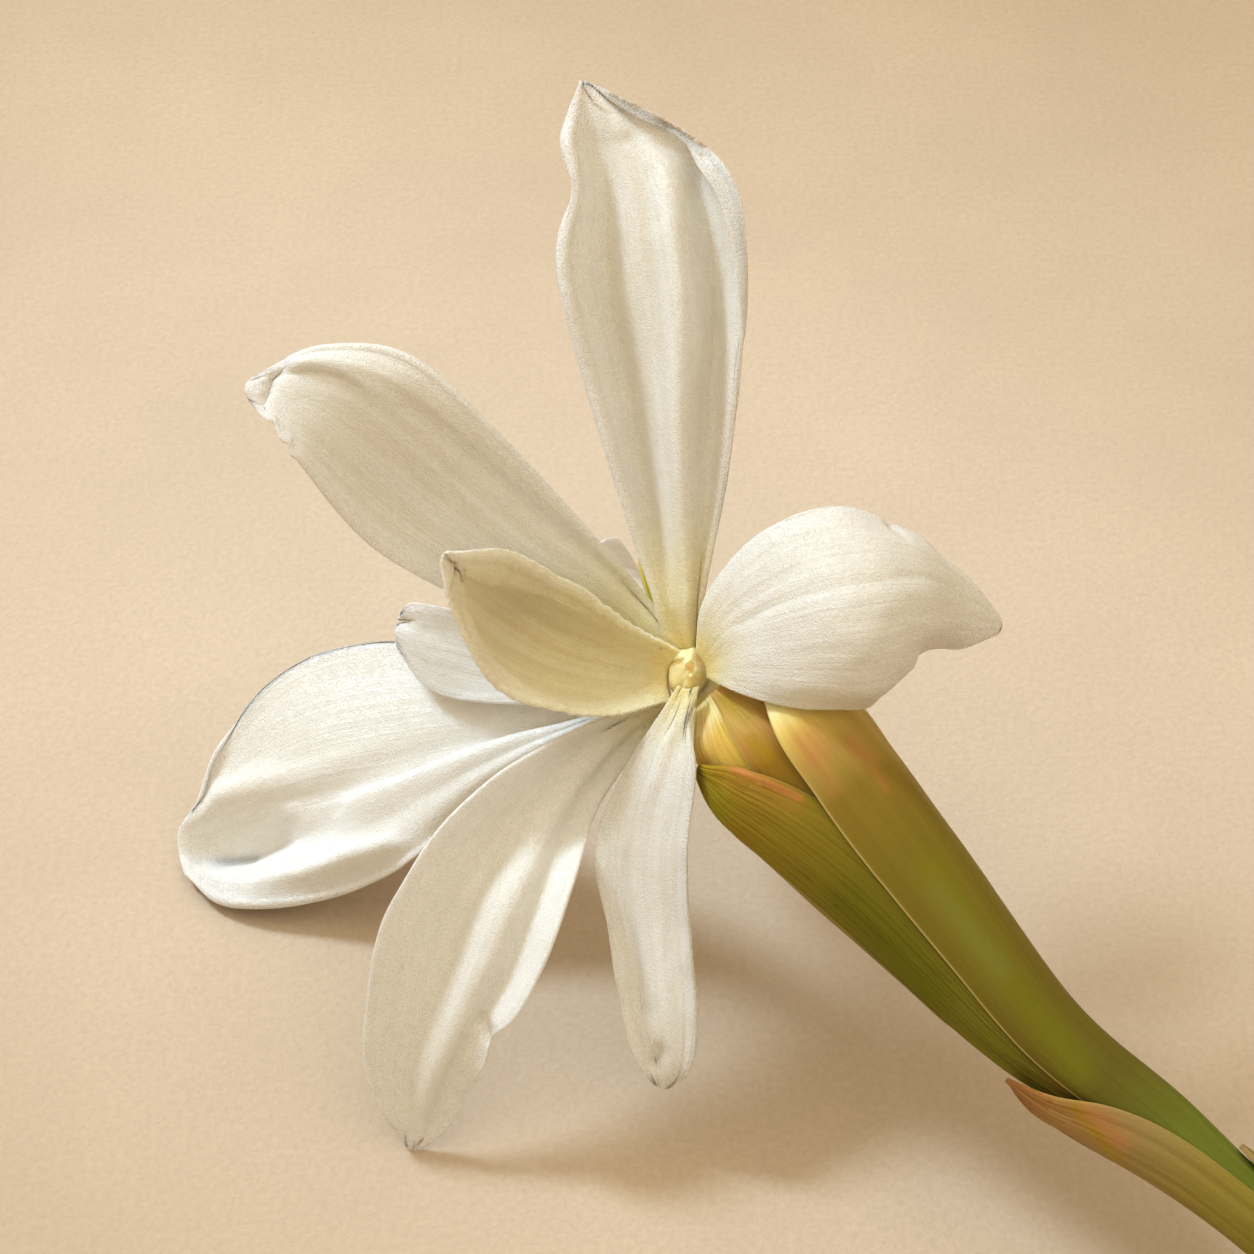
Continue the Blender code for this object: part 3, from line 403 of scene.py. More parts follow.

# Each bract wraps the axis. Its margins are (distance along, turn in degrees),
# with 0 facing the front of the bloom and 90 its upper right. "depth" counts
# the bracts outside it, "foot" is where it closes on the stem over the length
# "cinch", and "tuck" is how much nearer to the axis its left margin lies there.
#   bands       (share of the way from tip to foot, colour), blended one to the next
#   stains      (colour, reach, strength, [(across, up), ...]), as seen from the front
# among the stains, the greyish sheen is a painted sheen and the darker olive is painted shade
NO_TUCK = [(0, 0)]
BRACTS = {
    "pale_inner_bract": {
        "left": [(3, -80), (8, -105), (20, -115), (37, -115)],
        "right": [(3, 12), (20, 14), (37, 14)],
        "tuck": [(3, -0.8), (7, -0.9), (8.5, 0), (37, 0)],
        "bands": [(0.02, (0.92, 0.8, 0.42)), (0.066, (0.92, 0.8, 0.46)), (0.12, (0.86, 0.64, 0.2)),
            (0.25, (0.672, 0.462, 0.097))],
        "stains": [
            ("gold", 0.8, 0.9, [(3.8, -4.9), (5.3, -6.4), (6.7, -7.9)]),
            ("blush", 0.8, 0.25, [(1.3, -5.2), (2.6, -7.0)]),
        ],
        "slot": "inner_bract", "seed": 41, "depth": 3, "tip": 3.2, "foot": 37, "cinch": 6,
    },
    "green_inner_bract": {
        "left": [(3, 0), (5, -6), (10, -15), (14, -19), (20, -22), (44, -22)],
        "right": [(3, 110), (8, 135), (20, 150), (44, 150)],
        "bands": [(0.021, (0.66, 0.46, 0.196)), (0.093, (0.66, 0.48, 0.17)), (0.169, (0.58, 0.36, 0.107)),
            (0.24, (0.412, 0.244, 0.037)), (0.6, (0.252, 0.235, 0.032))],
        "stains": [
            ("gold", 0.7, 0.8, [(3.2, -2.7), (4.9, -4.5)]),
            ("gold", 0.6, 0.9, [(5.6, -6.3), (7.0, -7.7)]),
            ("tan", 0.9, 0.7, [(8.1, -4.0), (10.4, -7.6)]),
        ],
        "slot": "inner_bract", "seed": 42, "depth": 2, "tip": 3.6, "foot": 44, "cinch": 8,
    },
    "underside_bract": {
        "left": [(9, -160), (16, -195), (30, -200), (46, -195)],
        "right": [(9, -80), (16, -40), (30, -40), (46, -40)],
        "bands": [(0, (0.42, 0.302, 0.06)), (0.4, (0.302, 0.269, 0.045))],
        "stains": [("tan", 1.0, 0.8, [(1.5, -12.2), (8.0, -18.0), (14.0, -24.0)])],
        "slot": "outer_bract", "seed": 43, "depth": 2, "tip": 9, "foot": 46, "cinch": 6,
    },
    "left_outer_bract": {
        "left": [(8, -66), (12, -66), (30, -62), (60, -60)],
        "right": [(8, -52), (8.8, -44), (10.7, -27), (13.6, -13), (18, 1), (26, 16), (40, 20), (60, 10)],
        "bands": [(0.024, (0.588, 0.353, 0.058)), (0.094, (0.445, 0.311, 0.043)),
            (0.184, (0.37, 0.281, 0.037)), (0.272, (0.323, 0.252, 0.033)), (0.374, (0.294, 0.244, 0.032)),
            (0.5, (0.252, 0.218, 0.029)), (0.7, (0.249, 0.218, 0.029))],
        "stains": [
            ("blush", 0.4, 0.85, [(3.9, -8.9), (6.6, -10.0), (9.7, -11.5)]),
            ("blush", 1.3, 0.3, [(5.0, -9.6), (9.0, -11.6)]),
            ("green", 1.6, 0.7, [(0.8, -9.6), (2.6, -12.3)]),
            # Painted shade: a darker olive over the lower front of the left outer bract, which faces away
            # from the main light.
            ("dark_olive", 2.4, 0.75, [(14.1, -20.4), (18.4, -24.8), (21, -28.2)]),
            ("blush", 1.0, 0.3, [(31.3, -34.5), (32.8, -36.6)]),
        ],
        "slot": "outer_bract", "seed": 44, "depth": 1, "tip": 8, "foot": 60, "cinch": 12,
    },
    "right_outer_bract": {
        "left": [(5, 40), (10.6, 14), (19, 3), (31, -5), (40, -8), (52, -18), (66, -28), (82, -28)],
        "right": [(5, 70), (9, 120), (18, 180), (40, 190), (82, 180)],
        "bands": [(0.044, (0.95, 0.9, 0.75)), (0.068, (0.92, 0.84, 0.48)), (0.1, (0.8, 0.62, 0.22)),
            (0.145, (0.56, 0.41, 0.134)), (0.2, (0.353, 0.252, 0.048)), (0.3, (0.294, 0.227, 0.037)),
            (0.45, (0.26, 0.21, 0.035)), (0.55, (0.231, 0.185, 0.031)), (0.65, (0.206, 0.172, 0.029)),
            (0.75, (0.227, 0.252, 0.044)), (0.9, (0.218, 0.248, 0.047))],
        "stains": [
            ("blush", 1.2, 0.65, [(10.3, -6.2), (11.2, -7.6)]),
            ("blush", 0.6, 0.35, [(11.1, -7.4), (12.8, -10.7)]),
            ("blush", 0.9, 0.4, [(14.3, -6.7), (16.1, -8)]),
            ("blush", 0.5, 0.35, [(15.2, -7.1), (17.4, -10.7)]),
            ("tan", 1.6, 0.6, [(17.3, -5.0), (19.5, -7.4)]),
            ("green", 1.5, 0.5, [(21.2, -17.7), (26.3, -25.5), (33.8, -34.8)]),
            # Painted sheen: a greyish lighter streak down the right outer bract where it catches the light.
            ("sage", 0.9, 0.5, [(21.6, -19.6), (24.6, -23.3), (27.2, -26.4)]),
        ],
        "slot": "outer_bract", "seed": 45, "depth": 0, "tip": 5, "foot": 82, "cinch": 8,
    },
    "lower_bract": {
        "left": [(48, -50), (54, -110), (66, -145), (92, -150)],
        "right": [(48, -42), (52, -28), (56, -6), (60, 8), (65, 18), (72.5, 23), (92, 26)],
        "tuck": [(48, 0.5), (56, 0.7), (64, 0.9), (74, 0.9), (84, 0.4), (92, 0)],
        "bands": [(0.05, (0.479, 0.26, 0.101)), (0.12, (0.479, 0.302, 0.119)), (0.2, (0.437, 0.307, 0.135)),
            (0.31, (0.412, 0.319, 0.128)), (0.45, (0.37, 0.294, 0.073)), (0.8, (0.286, 0.277, 0.044))],
        "stains": [
            ("orange", 0.9, 0.8, [(27.6, -34.4), (30.5, -36.3)]),
            ("blush", 1.0, 0.6, [(34.6, -38.6), (37.2, -40.6)]),
            ("gold", 0.5, 0.7, [(33.4, -38.0), (38.3, -44.0), (44, -48.4)]),
        ],
        "slot": "outer_bract", "seed": 46, "depth": -1, "tip": 48, "foot": 92, "cinch": 8,
    },
    "upper_bract": {
        "left": [(67, 72), (72, 52), (80, 44), (95, 40)],
        "right": [(67, 80), (72, 130), (80, 150), (95, 155)],
        "bands": [(0, (0.521, 0.386, 0.173)), (0.6, (0.378, 0.319, 0.099))],
        "stains": [("blush", 0.3, 0.6, [(45.6, -39.6), (47.6, -42.4)])],
        "slot": "outer_bract", "seed": 47, "depth": -1, "tip": 67, "foot": 95, "cinch": 8,
    },
}

# Pieces that are seen well get the fine blank, and the mostly hidden ones the coarse one.
FINE_BLANK = (88, 36)                     # rows along it, then columns across it
COARSE_BLANK = (56, 26)
COARSE_PIECES = {"small_left_petal", "rear_petal", "rear_bract", "pale_inner_bract",
                 "underside_bract", "upper_bract"}


# --- Sizes and colours that a user would change --------------------------------------------

def length_property(name, description, default):
    """A length in metres, kept above zero."""
    return FloatProperty(name=name, description=description, default=default, min=0.0,
                         unit="LENGTH", subtype="DISTANCE", precision=5)


def colour_property(name, description, default):
    """A colour without alpha."""
    return FloatVectorProperty(name=name, description=description, default=default, size=3,
                               subtype="COLOR", min=0.0, max=1.0)


class FlowerSizes(bpy.types.PropertyGroup):
    """Sizes of what lies on the frame's shapes."""

    petal_thickness: length_property("Petal thickness", "Thickness of a petal along its rib", 0.0006)
    petal_margin: length_property("Petal margin", "Thickness of a petal at its margins", 0.00034)
    bract_thickness: length_property("Bract thickness", "Thickness of a bract at its middle", 0.0005)
    bract_margin: length_property("Bract margin", "Thickness of a bract at its margins", 0.0002)
    vein_height: length_property("Vein height", "Height of the veins of a petal", 0.00005)
    ridge_height: length_property("Ridge height", "Height of the ridges of a bract", 0.00007)


class FlowerColours(bpy.types.PropertyGroup):
    """Colours of the flower."""

    petal: colour_property("Petal", "White of the petals", (0.90, 0.90, 0.87))
    petal_warm: colour_property("Warm petal", "Ivory near the throat", (0.92, 0.85, 0.58))
    throat: colour_property("Throat", "Yellow of the throat", (0.92, 0.72, 0.26))
    wilt: colour_property("Wilted edge", "Brown of dried margins and tips", (0.40, 0.25, 0.11))
    olive: colour_property("Olive", "Green of the outer bracts", (0.22, 0.21, 0.008))
    # Painted shade: this darker olive stands for the shade on the left outer bract.
    dark_olive: colour_property("Dark olive", "Green of the shaded outer bract", (0.18, 0.175, 0.008))
    green: colour_property("Leaf green", "Freshest green of the bracts", (0.29, 0.30, 0.01))
    # Painted sheen: this greyish colour stands for a lighter streak of sheen along the right outer bract.
    sage: colour_property("Sage", "Greyish bloom on the bracts", (0.30, 0.29, 0.10))
    gold: colour_property("Gold", "Gold near the mouth of the sheath", (0.46, 0.32, 0.01))
    tan_gold: colour_property("Tan gold", "Tan gold at the mouth of the sheath", (0.86, 0.64, 0.28))
    tan: colour_property("Tan", "Tan of the inner and dry bracts", (0.62, 0.47, 0.12))
    orange: colour_property("Orange", "Dry orange tips", (0.60, 0.34, 0.10))
    blush: colour_property("Blush", "Pink blush and red streaks", (0.68, 0.31, 0.13))
    pale: colour_property("Pale margin", "Thin margins of the bracts", (0.66, 0.52, 0.24))


class StageLook(bpy.types.PropertyGroup):
    """The floor, the lights and the camera."""

    floor_colour: colour_property("Floor", "Colour of the plain floor", (0.675, 0.57, 0.455))
    sky_colour: colour_property("Overhead light", "Colour of the soft light from above",
                                (0.84, 0.77, 0.63))
    wall_colour: colour_property("Side light", "Colour of the soft light from all sides",
                                 (0.20, 0.12, 0.05))
    backdrop_colour: colour_property("Backdrop", "Colour beyond the edge of the floor",
                                     (0.66, 0.52, 0.35))
    sky_strength: FloatProperty(name="Soft strength", description="Strength of the soft light",
                                default=1.55, min=0.0)
    key_colour: colour_property("Key light", "Colour of the main light", (0.64, 0.81, 1.0))
    key_power: FloatProperty(name="Key power", description="Power of the main light",
                             default=40.0, min=0.0, unit="POWER")
    key_size: length_property("Key size", "Side of the main light's panel", 0.24)
    key_distance: length_property("Key distance", "From the throat to the main light", 0.9)
    camera_distance: length_property("Camera distance", "From the camera to its aim", 0.324)
    camera_elevation: FloatProperty(name="Camera elevation", description="Camera height as an angle",
                                    default=math.radians(45), subtype="ANGLE")


# --- Curves and numbers ----------------------------------------------------------------------

def cubic(t, start, end, rise, fall):
    """Run smoothly from start to end as t goes from 0 to 1, with these slopes at the ends."""
    return ((2 * t**3 - 3 * t**2 + 1) * start + (t**3 - 2 * t**2 + t) * rise
            + (3 * t**2 - 2 * t**3) * end + (t**3 - t**2) * fall)


def trace(points):
    """Draw a smooth curve through the points: its samples, and how far along it each one is."""
    points = np.asarray(points, float)
    tangents = np.gradient(points, axis=0)
    t = np.linspace(0, 1, CURVE_SAMPLES, endpoint=False)[:, None]
    samples = [cubic(t, points[k], points[k + 1], tangents[k], tangents[k + 1])
               for k in range(len(points) - 1)]
    samples = np.vstack(samples + [points[-1:]])
    lengths = np.linalg.norm(np.diff(samples, axis=0), axis=1)
    return samples, np.concatenate(([0], np.cumsum(lengths)))


def curve_at(points, distances):
    """Read a smooth curve through the points at distances along it."""
    samples, reached = trace(points)
    return np.stack([np.interp(distances, reached, samples[:, k]) for k in range(3)], -1)


def smooth_curve(points, shares):
    """Read a smooth curve through the points at shares of its length, from 0 to 1."""
    return curve_at(points, np.clip(shares, 0, 1) * trace(points)[1][-1])


def smooth_table(table, places):
    """Read a smooth line through a table of (place, value), level before and after it."""
    across, values = (np.asarray(column, float) for column in zip(*table))
    if len(across) == 1:
        return np.full(np.shape(places), values[0])
    slopes = np.gradient(values, across)
    places = np.clip(places, across[0], across[-1])
    index = np.clip(np.searchsorted(across, places, side="right") - 1, 0, len(across) - 2)
    width = across[index + 1] - across[index]
    t = (places - across[index]) / width
    return cubic(t, values[index], values[index + 1], width * slopes[index], width * slopes[index + 1])


def ease(low, high, values):
    """Rise smoothly from 0 at low to 1 at high."""
    t = np.clip((np.asarray(values, float) - low) / (high - low), 0, 1)
    return t * t * (3 - 2 * t)


def waves(across, along, seed):
    """Smooth random hills between -1 and 1, about one to each unit of across and along."""
    heights = np.random.default_rng(seed).uniform(-1, 1, (HILLS, HILLS))
    column, row = np.floor(across).astype(int), np.floor(along).astype(int)
    s, t = ease(0, 1, across - column), ease(0, 1, along - row)
    here, right = column % HILLS, (column + 1) % HILLS
    near, far = (heights[line % HILLS, here] * (1 - s) + heights[line % HILLS, right] * s
                 for line in (row, row + 1))
    return near * (1 - t) + far * t


def relief(pattern, across, along, seed, drift=0):
    """Smooth random hills in one of the patterns, between -1 and 1."""
    wide, shift, tall = pattern
    return waves(across * wide + shift + drift, along * tall, seed)


def throat_place():
    """Give the middle of the flower's mouth, in metres, from the throat's box."""
    low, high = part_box("throat")
    corner = np.array([low.x, high.y, high.z])
    return corner + np.array(MOUTH_FROM_CORNER) * MM


THROAT = throat_place()


def to_frame(points):
    """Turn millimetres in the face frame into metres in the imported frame."""
    across, up, out = np.moveaxis(np.asarray(points, float), -1, 0)
    sine, cosine = math.sin(FACE_TILT), math.cos(FACE_TILT)
    turned = np.stack((across, up * cosine - out * sine, up * sine + out * cosine), -1)
    return THROAT + turned * MM


def unit(vectors):
    """Give vectors a length of one."""
    return vectors / np.maximum(np.linalg.norm(vectors, axis=-1, keepdims=True), TINY)


# --- Blanks: flat closed sheets that are shaped into petals and bracts -------------------------

def deselect_all():
    """Leave no object selected."""
    bpy.ops.object.select_all(action="DESELECT")


def activate(piece):
    """Make a piece the only one that is selected, and the active one."""
    deselect_all()
    piece.select_set(True)
    bpy.context.view_layer.objects.active = piece


def add_blank(rows, columns):
    """Make a flat sheet two units square with rounded rims, seen from above as across and along."""
    deselect_all()
    bpy.ops.mesh.primitive_grid_add(x_subdivisions=columns, y_subdivisions=rows, size=2)
    blank = bpy.context.object
    solid = blank.modifiers.new("Thickness", "SOLIDIFY")
    solid.thickness = 2 * BLANK_HALF_THICKNESS
    solid.offset = 0
    finer = blank.modifiers.new("Rounded rim", "SUBSURF")
    finer.levels = finer.render_levels = 1
    activate(blank)
    for modifier in list(blank.modifiers):
        bpy.ops.object.modifier_apply(modifier=modifier.name)
    return blank


def read_points(piece):
    """Give the three coordinates of a piece's points, each as a list."""
    flat = np.empty(len(piece.data.vertices) * 3)
    piece.data.vertices.foreach_get("co", flat)
    return flat.reshape(-1, 3).T


def read_blank(piece):
    """Give across (-1 to 1), along (0 to 1) and side (-1 behind to 1 in front) of each point."""
    across, along, side = (values / np.abs(values).max() for values in read_points(piece))
    return across, (along + 1) / 2, side


def write_shape(piece, points, across, along):
    """Move the points to their places, above the surface, and lay the UV map along the piece."""
    low = points[:, 2] < REST_EASE
    points[low, 2] = REST_EASE * np.exp(points[low, 2] / REST_EASE - 1)
    piece.data.vertices.foreach_set("co", points.ravel())
    layer = piece.data.uv_layers.active or piece.data.uv_layers.new(name="UVMap")
    corner = np.empty(len(piece.data.loops), int)
    piece.data.loops.foreach_get("vertex_index", corner)
    places = np.stack((across[corner] / 2 + 0.5, along[corner]), -1)
    layer.uv.foreach_set("vector", places.ravel())
    piece.data.update()


def add_attribute(piece, name, values):
    """Store one number for each point, for a material to read."""
    attribute = piece.data.attributes.new(name, "FLOAT", "POINT")
    attribute.data.foreach_set("value", np.asarray(values, np.float32))


def lattice():
    """Places over a blank, across and along, in rows and columns finer than its own."""
    return np.meshgrid(np.linspace(-1, 1, LATTICE_COLUMNS), np.linspace(0, 1, LATTICE_ROWS))


def normals_of(points):
    """Which way a lattice of points faces."""
    return unit(np.cross(np.gradient(points, axis=1), np.gradient(points, axis=0)))


def read_lattice(values, across, along):
    """Read a lattice of values at places over the blank."""
    column = np.clip((across + 1) / 2, 0, 1) * (LATTICE_COLUMNS - 1)
    row = np.clip(along, 0, 1) * (LATTICE_ROWS - 1)
    left = np.minimum(column.astype(int), LATTICE_COLUMNS - 2)
    below = np.minimum(row.astype(int), LATTICE_ROWS - 2)
    s, t = column - left, row - below
    if values.ndim == 3:
        s, t = s[:, None], t[:, None]
    return ((values[below, left] * (1 - s) + values[below, left + 1] * s) * (1 - t)
            + (values[below + 1, left] * (1 - s) + values[below + 1, left + 1] * s) * t)


def write_sheet(piece, middle, thickness, across_at, masks):
    """Give a blank the shape of a lattice of points, a UV map, and attributes for its material."""
    across, along, side = read_blank(piece)

    def read(values):
        return read_lattice(values, across, along)

    offset = normals_of(middle) * (thickness / 2)[..., None]
    points = read(middle) + read(offset) * side[:, None]
    write_shape(piece, to_frame(points), read(across_at), along)
    for name, values in masks.items():
        add_attribute(piece, name, read(values))


def finish_piece(piece, name, material, slot, node, angle=60):
    """Name a piece, face it outwards, give it its finish and join it to the frame."""
    piece.name = piece.data.name = name
    activate(piece)
    bpy.ops.object.mode_set(mode="EDIT")
    bpy.ops.mesh.select_all(action="SELECT")
    bpy.ops.mesh.normals_make_consistent(inside=False)
    bpy.ops.object.mode_set(mode="OBJECT")
    bpy.ops.object.shade_smooth_by_angle(angle=math.radians(angle))
    piece.data.materials.clear()
    piece.data.materials.append(material)
    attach(piece, "root")
    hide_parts(node)
    deselect_all()


def take_blank(name):
    """Copy the blank that suits a piece, with a mesh of its own."""
    size = COARSE_BLANK if name in COARSE_PIECES else FINE_BLANK
    key = f"blank_{size[0]}"
    source = bpy.data.meshes.get(key)
    if source is None:
        blank = add_blank(*size)
        source = blank.data
        source.name = key
        source.use_fake_user = True
        bpy.data.objects.remove(blank)
    piece = bpy.data.objects.new(name, source.copy())
    bpy.context.collection.objects.link(piece)
    return piece


# --- Petals ------------------------------------------------------------------------------------

def petal_middle(design, across, along):
    """The sheet through a petal's left margin, rib and right margin."""
    shape = along.shape
    left, rib, right = (smooth_curve(design[edge], along.ravel()).reshape(*shape, 3)
                        for edge in ("left", "rib", "right"))
    across = across[..., None]
    return (left * across * (across - 1) / 2 + rib * (1 - across**2)
            + right * across * (across + 1) / 2)


def petal_spans(design, across, along):
    """How wide a petal's half is at each place, and how long the petal is, in millimetres."""
    rows = along[:, 0]
    left, rib, right = (smooth_curve(design[edge], rows) for edge in ("left", "rib", "right"))
    wide_left = np.linalg.norm(left - rib, axis=-1)[:, None]
    wide_right = np.linalg.norm(right - rib, axis=-1)[:, None]
    length = trace(design["rib"])[1][-1]
    return np.where(across < 0, wide_left, wide_right), length


def mark_height(marks, place, up, width_at, length):
    """Height of the marks, at places given in millimetres across and up the petal."""
    height = np.zeros_like(place)
    for widths, line in marks:
        nearest = np.full_like(place, np.inf)
        swell = np.zeros_like(place)
        stops = [(width_at(across, along), along * length, size) for across, along, size in line]
        for (x0, y0, size0), (x1, y1, size1) in zip(stops, stops[1:]):
            dx, dy = x1 - x0, y1 - y0
            run = max(dx * dx + dy * dy, TINY)
            share = np.clip(((place - x0) * dx + (up - y0) * dy) / run, 0, 1)
            away_x, away_y = place - x0 - share * dx, up - y0 - share * dy
            distance = np.hypot(away_x, away_y)
            width = np.where(away_y * dx - away_x * dy > 0, widths[0], widths[1])
            rise = (size0 + (size1 - size0) * share) * np.exp(-(distance / width) ** 2)
            swell = np.where(distance < nearest, rise, swell)
            nearest = np.minimum(nearest, distance)
        height += swell
    return height


def petal_relief(design, across, along, facing):
    """Folds, marks, lips, ruffles and wrinkles of a petal, as heights in millimetres."""
    body = np.sin(np.pi * np.clip(along, 0, 1)) ** 0.5
    height = np.zeros_like(across)
    for place, width, size in design["folds"]:
        height += size * np.exp(-((across - place) / width) ** 2) * body
    wide, length = petal_spans(design, across, along)
    rows = along[:, 0]

    def width_at(place, row):
        side = wide[:, 0] if place < 0 else wide[:, -1]
        return place * np.interp(row, rows, side)

    drawn = mark_height(design["marks"], across * wide, along * length, width_at, length)
    for margin, table in design["lips"].items():
        near = across if margin == "right" else -across
        drawn += smooth_table(table, along) * ease(design["lip_share"], 1.0, near)
    pleats = np.sin(np.abs(across) * wide * PLEAT_TURNS) * ease(*PLEAT_START, np.abs(across))
    drawn += design["pleats"] * pleats * body
    drawn += smooth_table(design["tilt"], along) * across
    drawn += smooth_table(design["lift"], along)
    seed, wrinkle = design["seed"], design["wrinkle"]
    drawn += wrinkle * body * relief(BROAD_WRINKLES, across, along, seed)
    drawn += FINE_SHARE * wrinkle * body * relief(FINE_WRINKLES, across, along, seed + 6)
    ruffled = ease(0.6, 1.0, np.abs(across)) * ease(0.2, 0.5, along) * (1 - ease(0.93, 1, along))
    drawn += design["ruffle"] * ruffled * relief(RUFFLES, across, along, seed + 1)
    return height + facing * drawn


def petal_veins(across, along, seed):
    """Fine veins that run from the base to the tip, between -1 and 1."""
    drift = 0.6 * relief(VEIN_DRIFT, across, along, seed + 2)
    fine = relief(VEINS, across, along, seed + 3, drift)
    finer = relief(FINE_VEINS, across, along, seed + 4, drift * 2)
    return (fine + 0.6 * finer) * ease(0.0, 0.1, along)


def rolled(design, across, along, sheet, facing):
    """Roll or fold the margins: give the places that the flat part keeps, and the shifts past it."""
    wide, _ = petal_spans(design, across, along)
    inner, shift = across.copy(), []
    for margin, (start, bend, table) in design["rolls"].items():
        sign = 1 if margin == "right" else -1
        reach = smooth_table([(place, far) for place, far, _ in table], along)
        turn = np.radians(smooth_table([(place, angle) for place, _, angle in table], along))
        steps = np.linspace(0, 1, ROLL_STEPS)
        angles = turn[..., None] * ease(0, bend, steps)
        sideways = np.cumsum(np.cos(angles), axis=-1) / ROLL_STEPS
        upwards = np.cumsum(np.sin(angles), axis=-1) / ROLL_STEPS
        extent = np.max(sideways, axis=-1) * reach
        base = 1 - np.clip(extent / np.maximum(wide, TINY), 0, ROLL_LIMIT)
        beyond = sign * across > start
        kept = np.where(beyond, sign * base, across / start * base)
        inner = np.where(sign * across > 0, kept, inner)
        share = np.clip((sign * across - start) / (1 - start), 0, 1) * (ROLL_STEPS - 1)
        index = np.minimum(share.astype(int), ROLL_STEPS - 2)[..., None]
        part = share[..., None] - index

        def read(values):
            near = np.take_along_axis(values, index, -1)
            return near * (1 - part) + np.take_along_axis(values, index + 1, -1) * part

        side = sheet(sign * base, along) - sheet(sign * (base - STEP * 4), along)
        lift = np.cross(sheet(sign * base + STEP, along) - sheet(sign * base - STEP, along),
                        sheet(sign * base, np.clip(along + STEP, 0, 1))
                        - sheet(sign * base, np.clip(along - STEP, 0, 1)))
        offset = unit(side) * read(sideways) + unit(lift) * facing * read(upwards)
        shift.append(np.where(beyond[..., None], offset * reach[..., None], 0))
    return inner, shift


def petal_lattice(design, vein_height):
    """Give a petal's middle surface as a lattice, with its places across."""
    across, along = lattice()
    across = np.sin(across * np.pi * CROWDING) / np.sin(np.pi * CROWDING)
    wide, length = petal_spans(design, across, along)
    facing = np.sign(normals_of(petal_middle(design, across, along))[..., 2].mean())
    tip = smooth_table(design["tip_trim"], across) / length

    def sheet(across, along):
        trim = np.zeros_like(across)
        for margin, table in design["trim"].items():
            near = across if margin == "right" else -across
            trim += np.where(near > 0, smooth_table(table, along), 0)
        across = across * (1 + trim / np.maximum(wide, 1) * np.abs(across) ** 4)
        return petal_middle(design, across, along * (1 + tip * along ** 12))

    inner, shifts = rolled(design, across, along, sheet, facing)
    base = sheet(inner, along)
    height = petal_relief(design, inner, along, facing)
    broad = np.clip(wide / wide.max(), 0, 1)
    height += vein_height * broad * petal_veins(across, along, design["seed"])
    # Beyond the start of a roll the lattice stands still, so its normals come from the open sheet.
    points = base + normals_of(sheet(across, along)) * height[..., None]
    return points + sum(shifts), across, along, broad


def make_petal(name):
    """Shape one petal and give it its finish."""
    sizes = bpy.context.scene.flower_sizes
    design = {**PLAIN_PETAL, **PETALS[name]}
    piece = take_blank(name)
    middle, across, along, broad = petal_lattice(design, sizes.vein_height / MM)
    inner = (1 - np.abs(across) ** 3) * (1 - ease(0.9, 1.0, along))
    thickness = (sizes.petal_margin + (sizes.petal_thickness - sizes.petal_margin) * inner) / MM
    if design["leafy"]:
        write_sheet(piece, middle, thickness, across, {"down": along, **bract_stains_and_painted_light(design, middle)})
        finish_piece(piece, f"{name}_leaf", bract_material(name, design), "inner_bract", name)
    else:
        masks = {"wilt": petal_wilt(design, middle), "broad": broad}
        write_sheet(piece, middle, thickness, across, masks)
        finish_piece(piece, f"{name}_bloom", petal_material(name, design), "petal", name)


def stain(points, reach, strength, stops):
    """A soft line drawn on a piece, seen from the front, from 0 to its strength."""
    mask = np.zeros(points.shape[:-1])
    stops = np.asarray(stops, float)
    for start, end in zip(stops, stops[1:]):
        run = end - start
        share = np.clip((points[..., :2] - start) @ run / max(run @ run, TINY), 0, 1)
        away = np.linalg.norm(points[..., :2] - start - share[..., None] * run, axis=-1)
        mask = np.maximum(mask, strength * np.exp(-(away / reach) ** 2))
    return mask


def petal_wilt(design, points):
    """Where a petal has dried brown, from 0 to 1."""
    wilt = np.zeros(points.shape[:-1])
    for reach, strength, line in design["wilt"]:
        across, along = (np.array([values]) for values in zip(*line))
        stops = petal_middle(design, across, along)[0][:, :2]
        wilt = np.maximum(wilt, stain(points, reach, strength, stops))
    return wilt


def bract_stains_and_painted_light(design, points, front=1.0):
    """One mask for each stain colour of a leafy piece, where its surface faces the front; some of them are
    a painted sheen and painted shade.
    """
    masks = {}
    for colour, reach, strength, stops in design["stains"]:
        mask = stain(points, reach, strength, stops) * front
        masks[colour] = np.maximum(masks.get(colour, 0), mask)
    return masks


# --- The sheath and the stem -------------------------------------------------------------------

def heading(route, distances):
    """Which way a route runs at distances along it."""
    return unit(curve_at(route, distances + AXIS_REACH)
                - curve_at(route, np.maximum(distances - AXIS_REACH, 0)))


def axis_frame(distances):
    """Give points on the axis, with the directions to the front and to the upper right."""
    centres = curve_at(AXIS, distances)
    along = heading(AXIS, distances)
    front = unit(np.array([0, 0, 1.0]) - along * along[:, 2:3])
    side = np.cross(front, along)
    side *= np.sign(side[:, 0:1])
    return centres, front, side


def around_axis(distances, radii, turns):
    """Place points round the axis, with 0 degrees at the front and 90 at the upper right."""
    centres, front, side = axis_frame(distances)
    turns = np.radians(turns)
    return (centres + front * (np.cos(turns) * radii * SHEATH_DEPTH)[:, None]
            + side * (np.sin(turns) * radii)[:, None])


def bract_radius(design, share, distances):
    """The outer radius of a bract, in millimetres, across its width and along the axis."""
    opened = smooth_table(SHEATH_PROFILE, distances) - design["depth"] * PLY
    opened -= smooth_table(design.get("tuck", NO_TUCK), distances) * np.clip(
        (TUCKED_SHARE - share) / TUCK_EASE, 0, 1)
    closed = smooth_table(STEM_PROFILE, distances) + STEM_GAP + BRACT_PLY
    return closed + (opened - closed) * ease(0, design["cinch"], design["foot"] - distances)


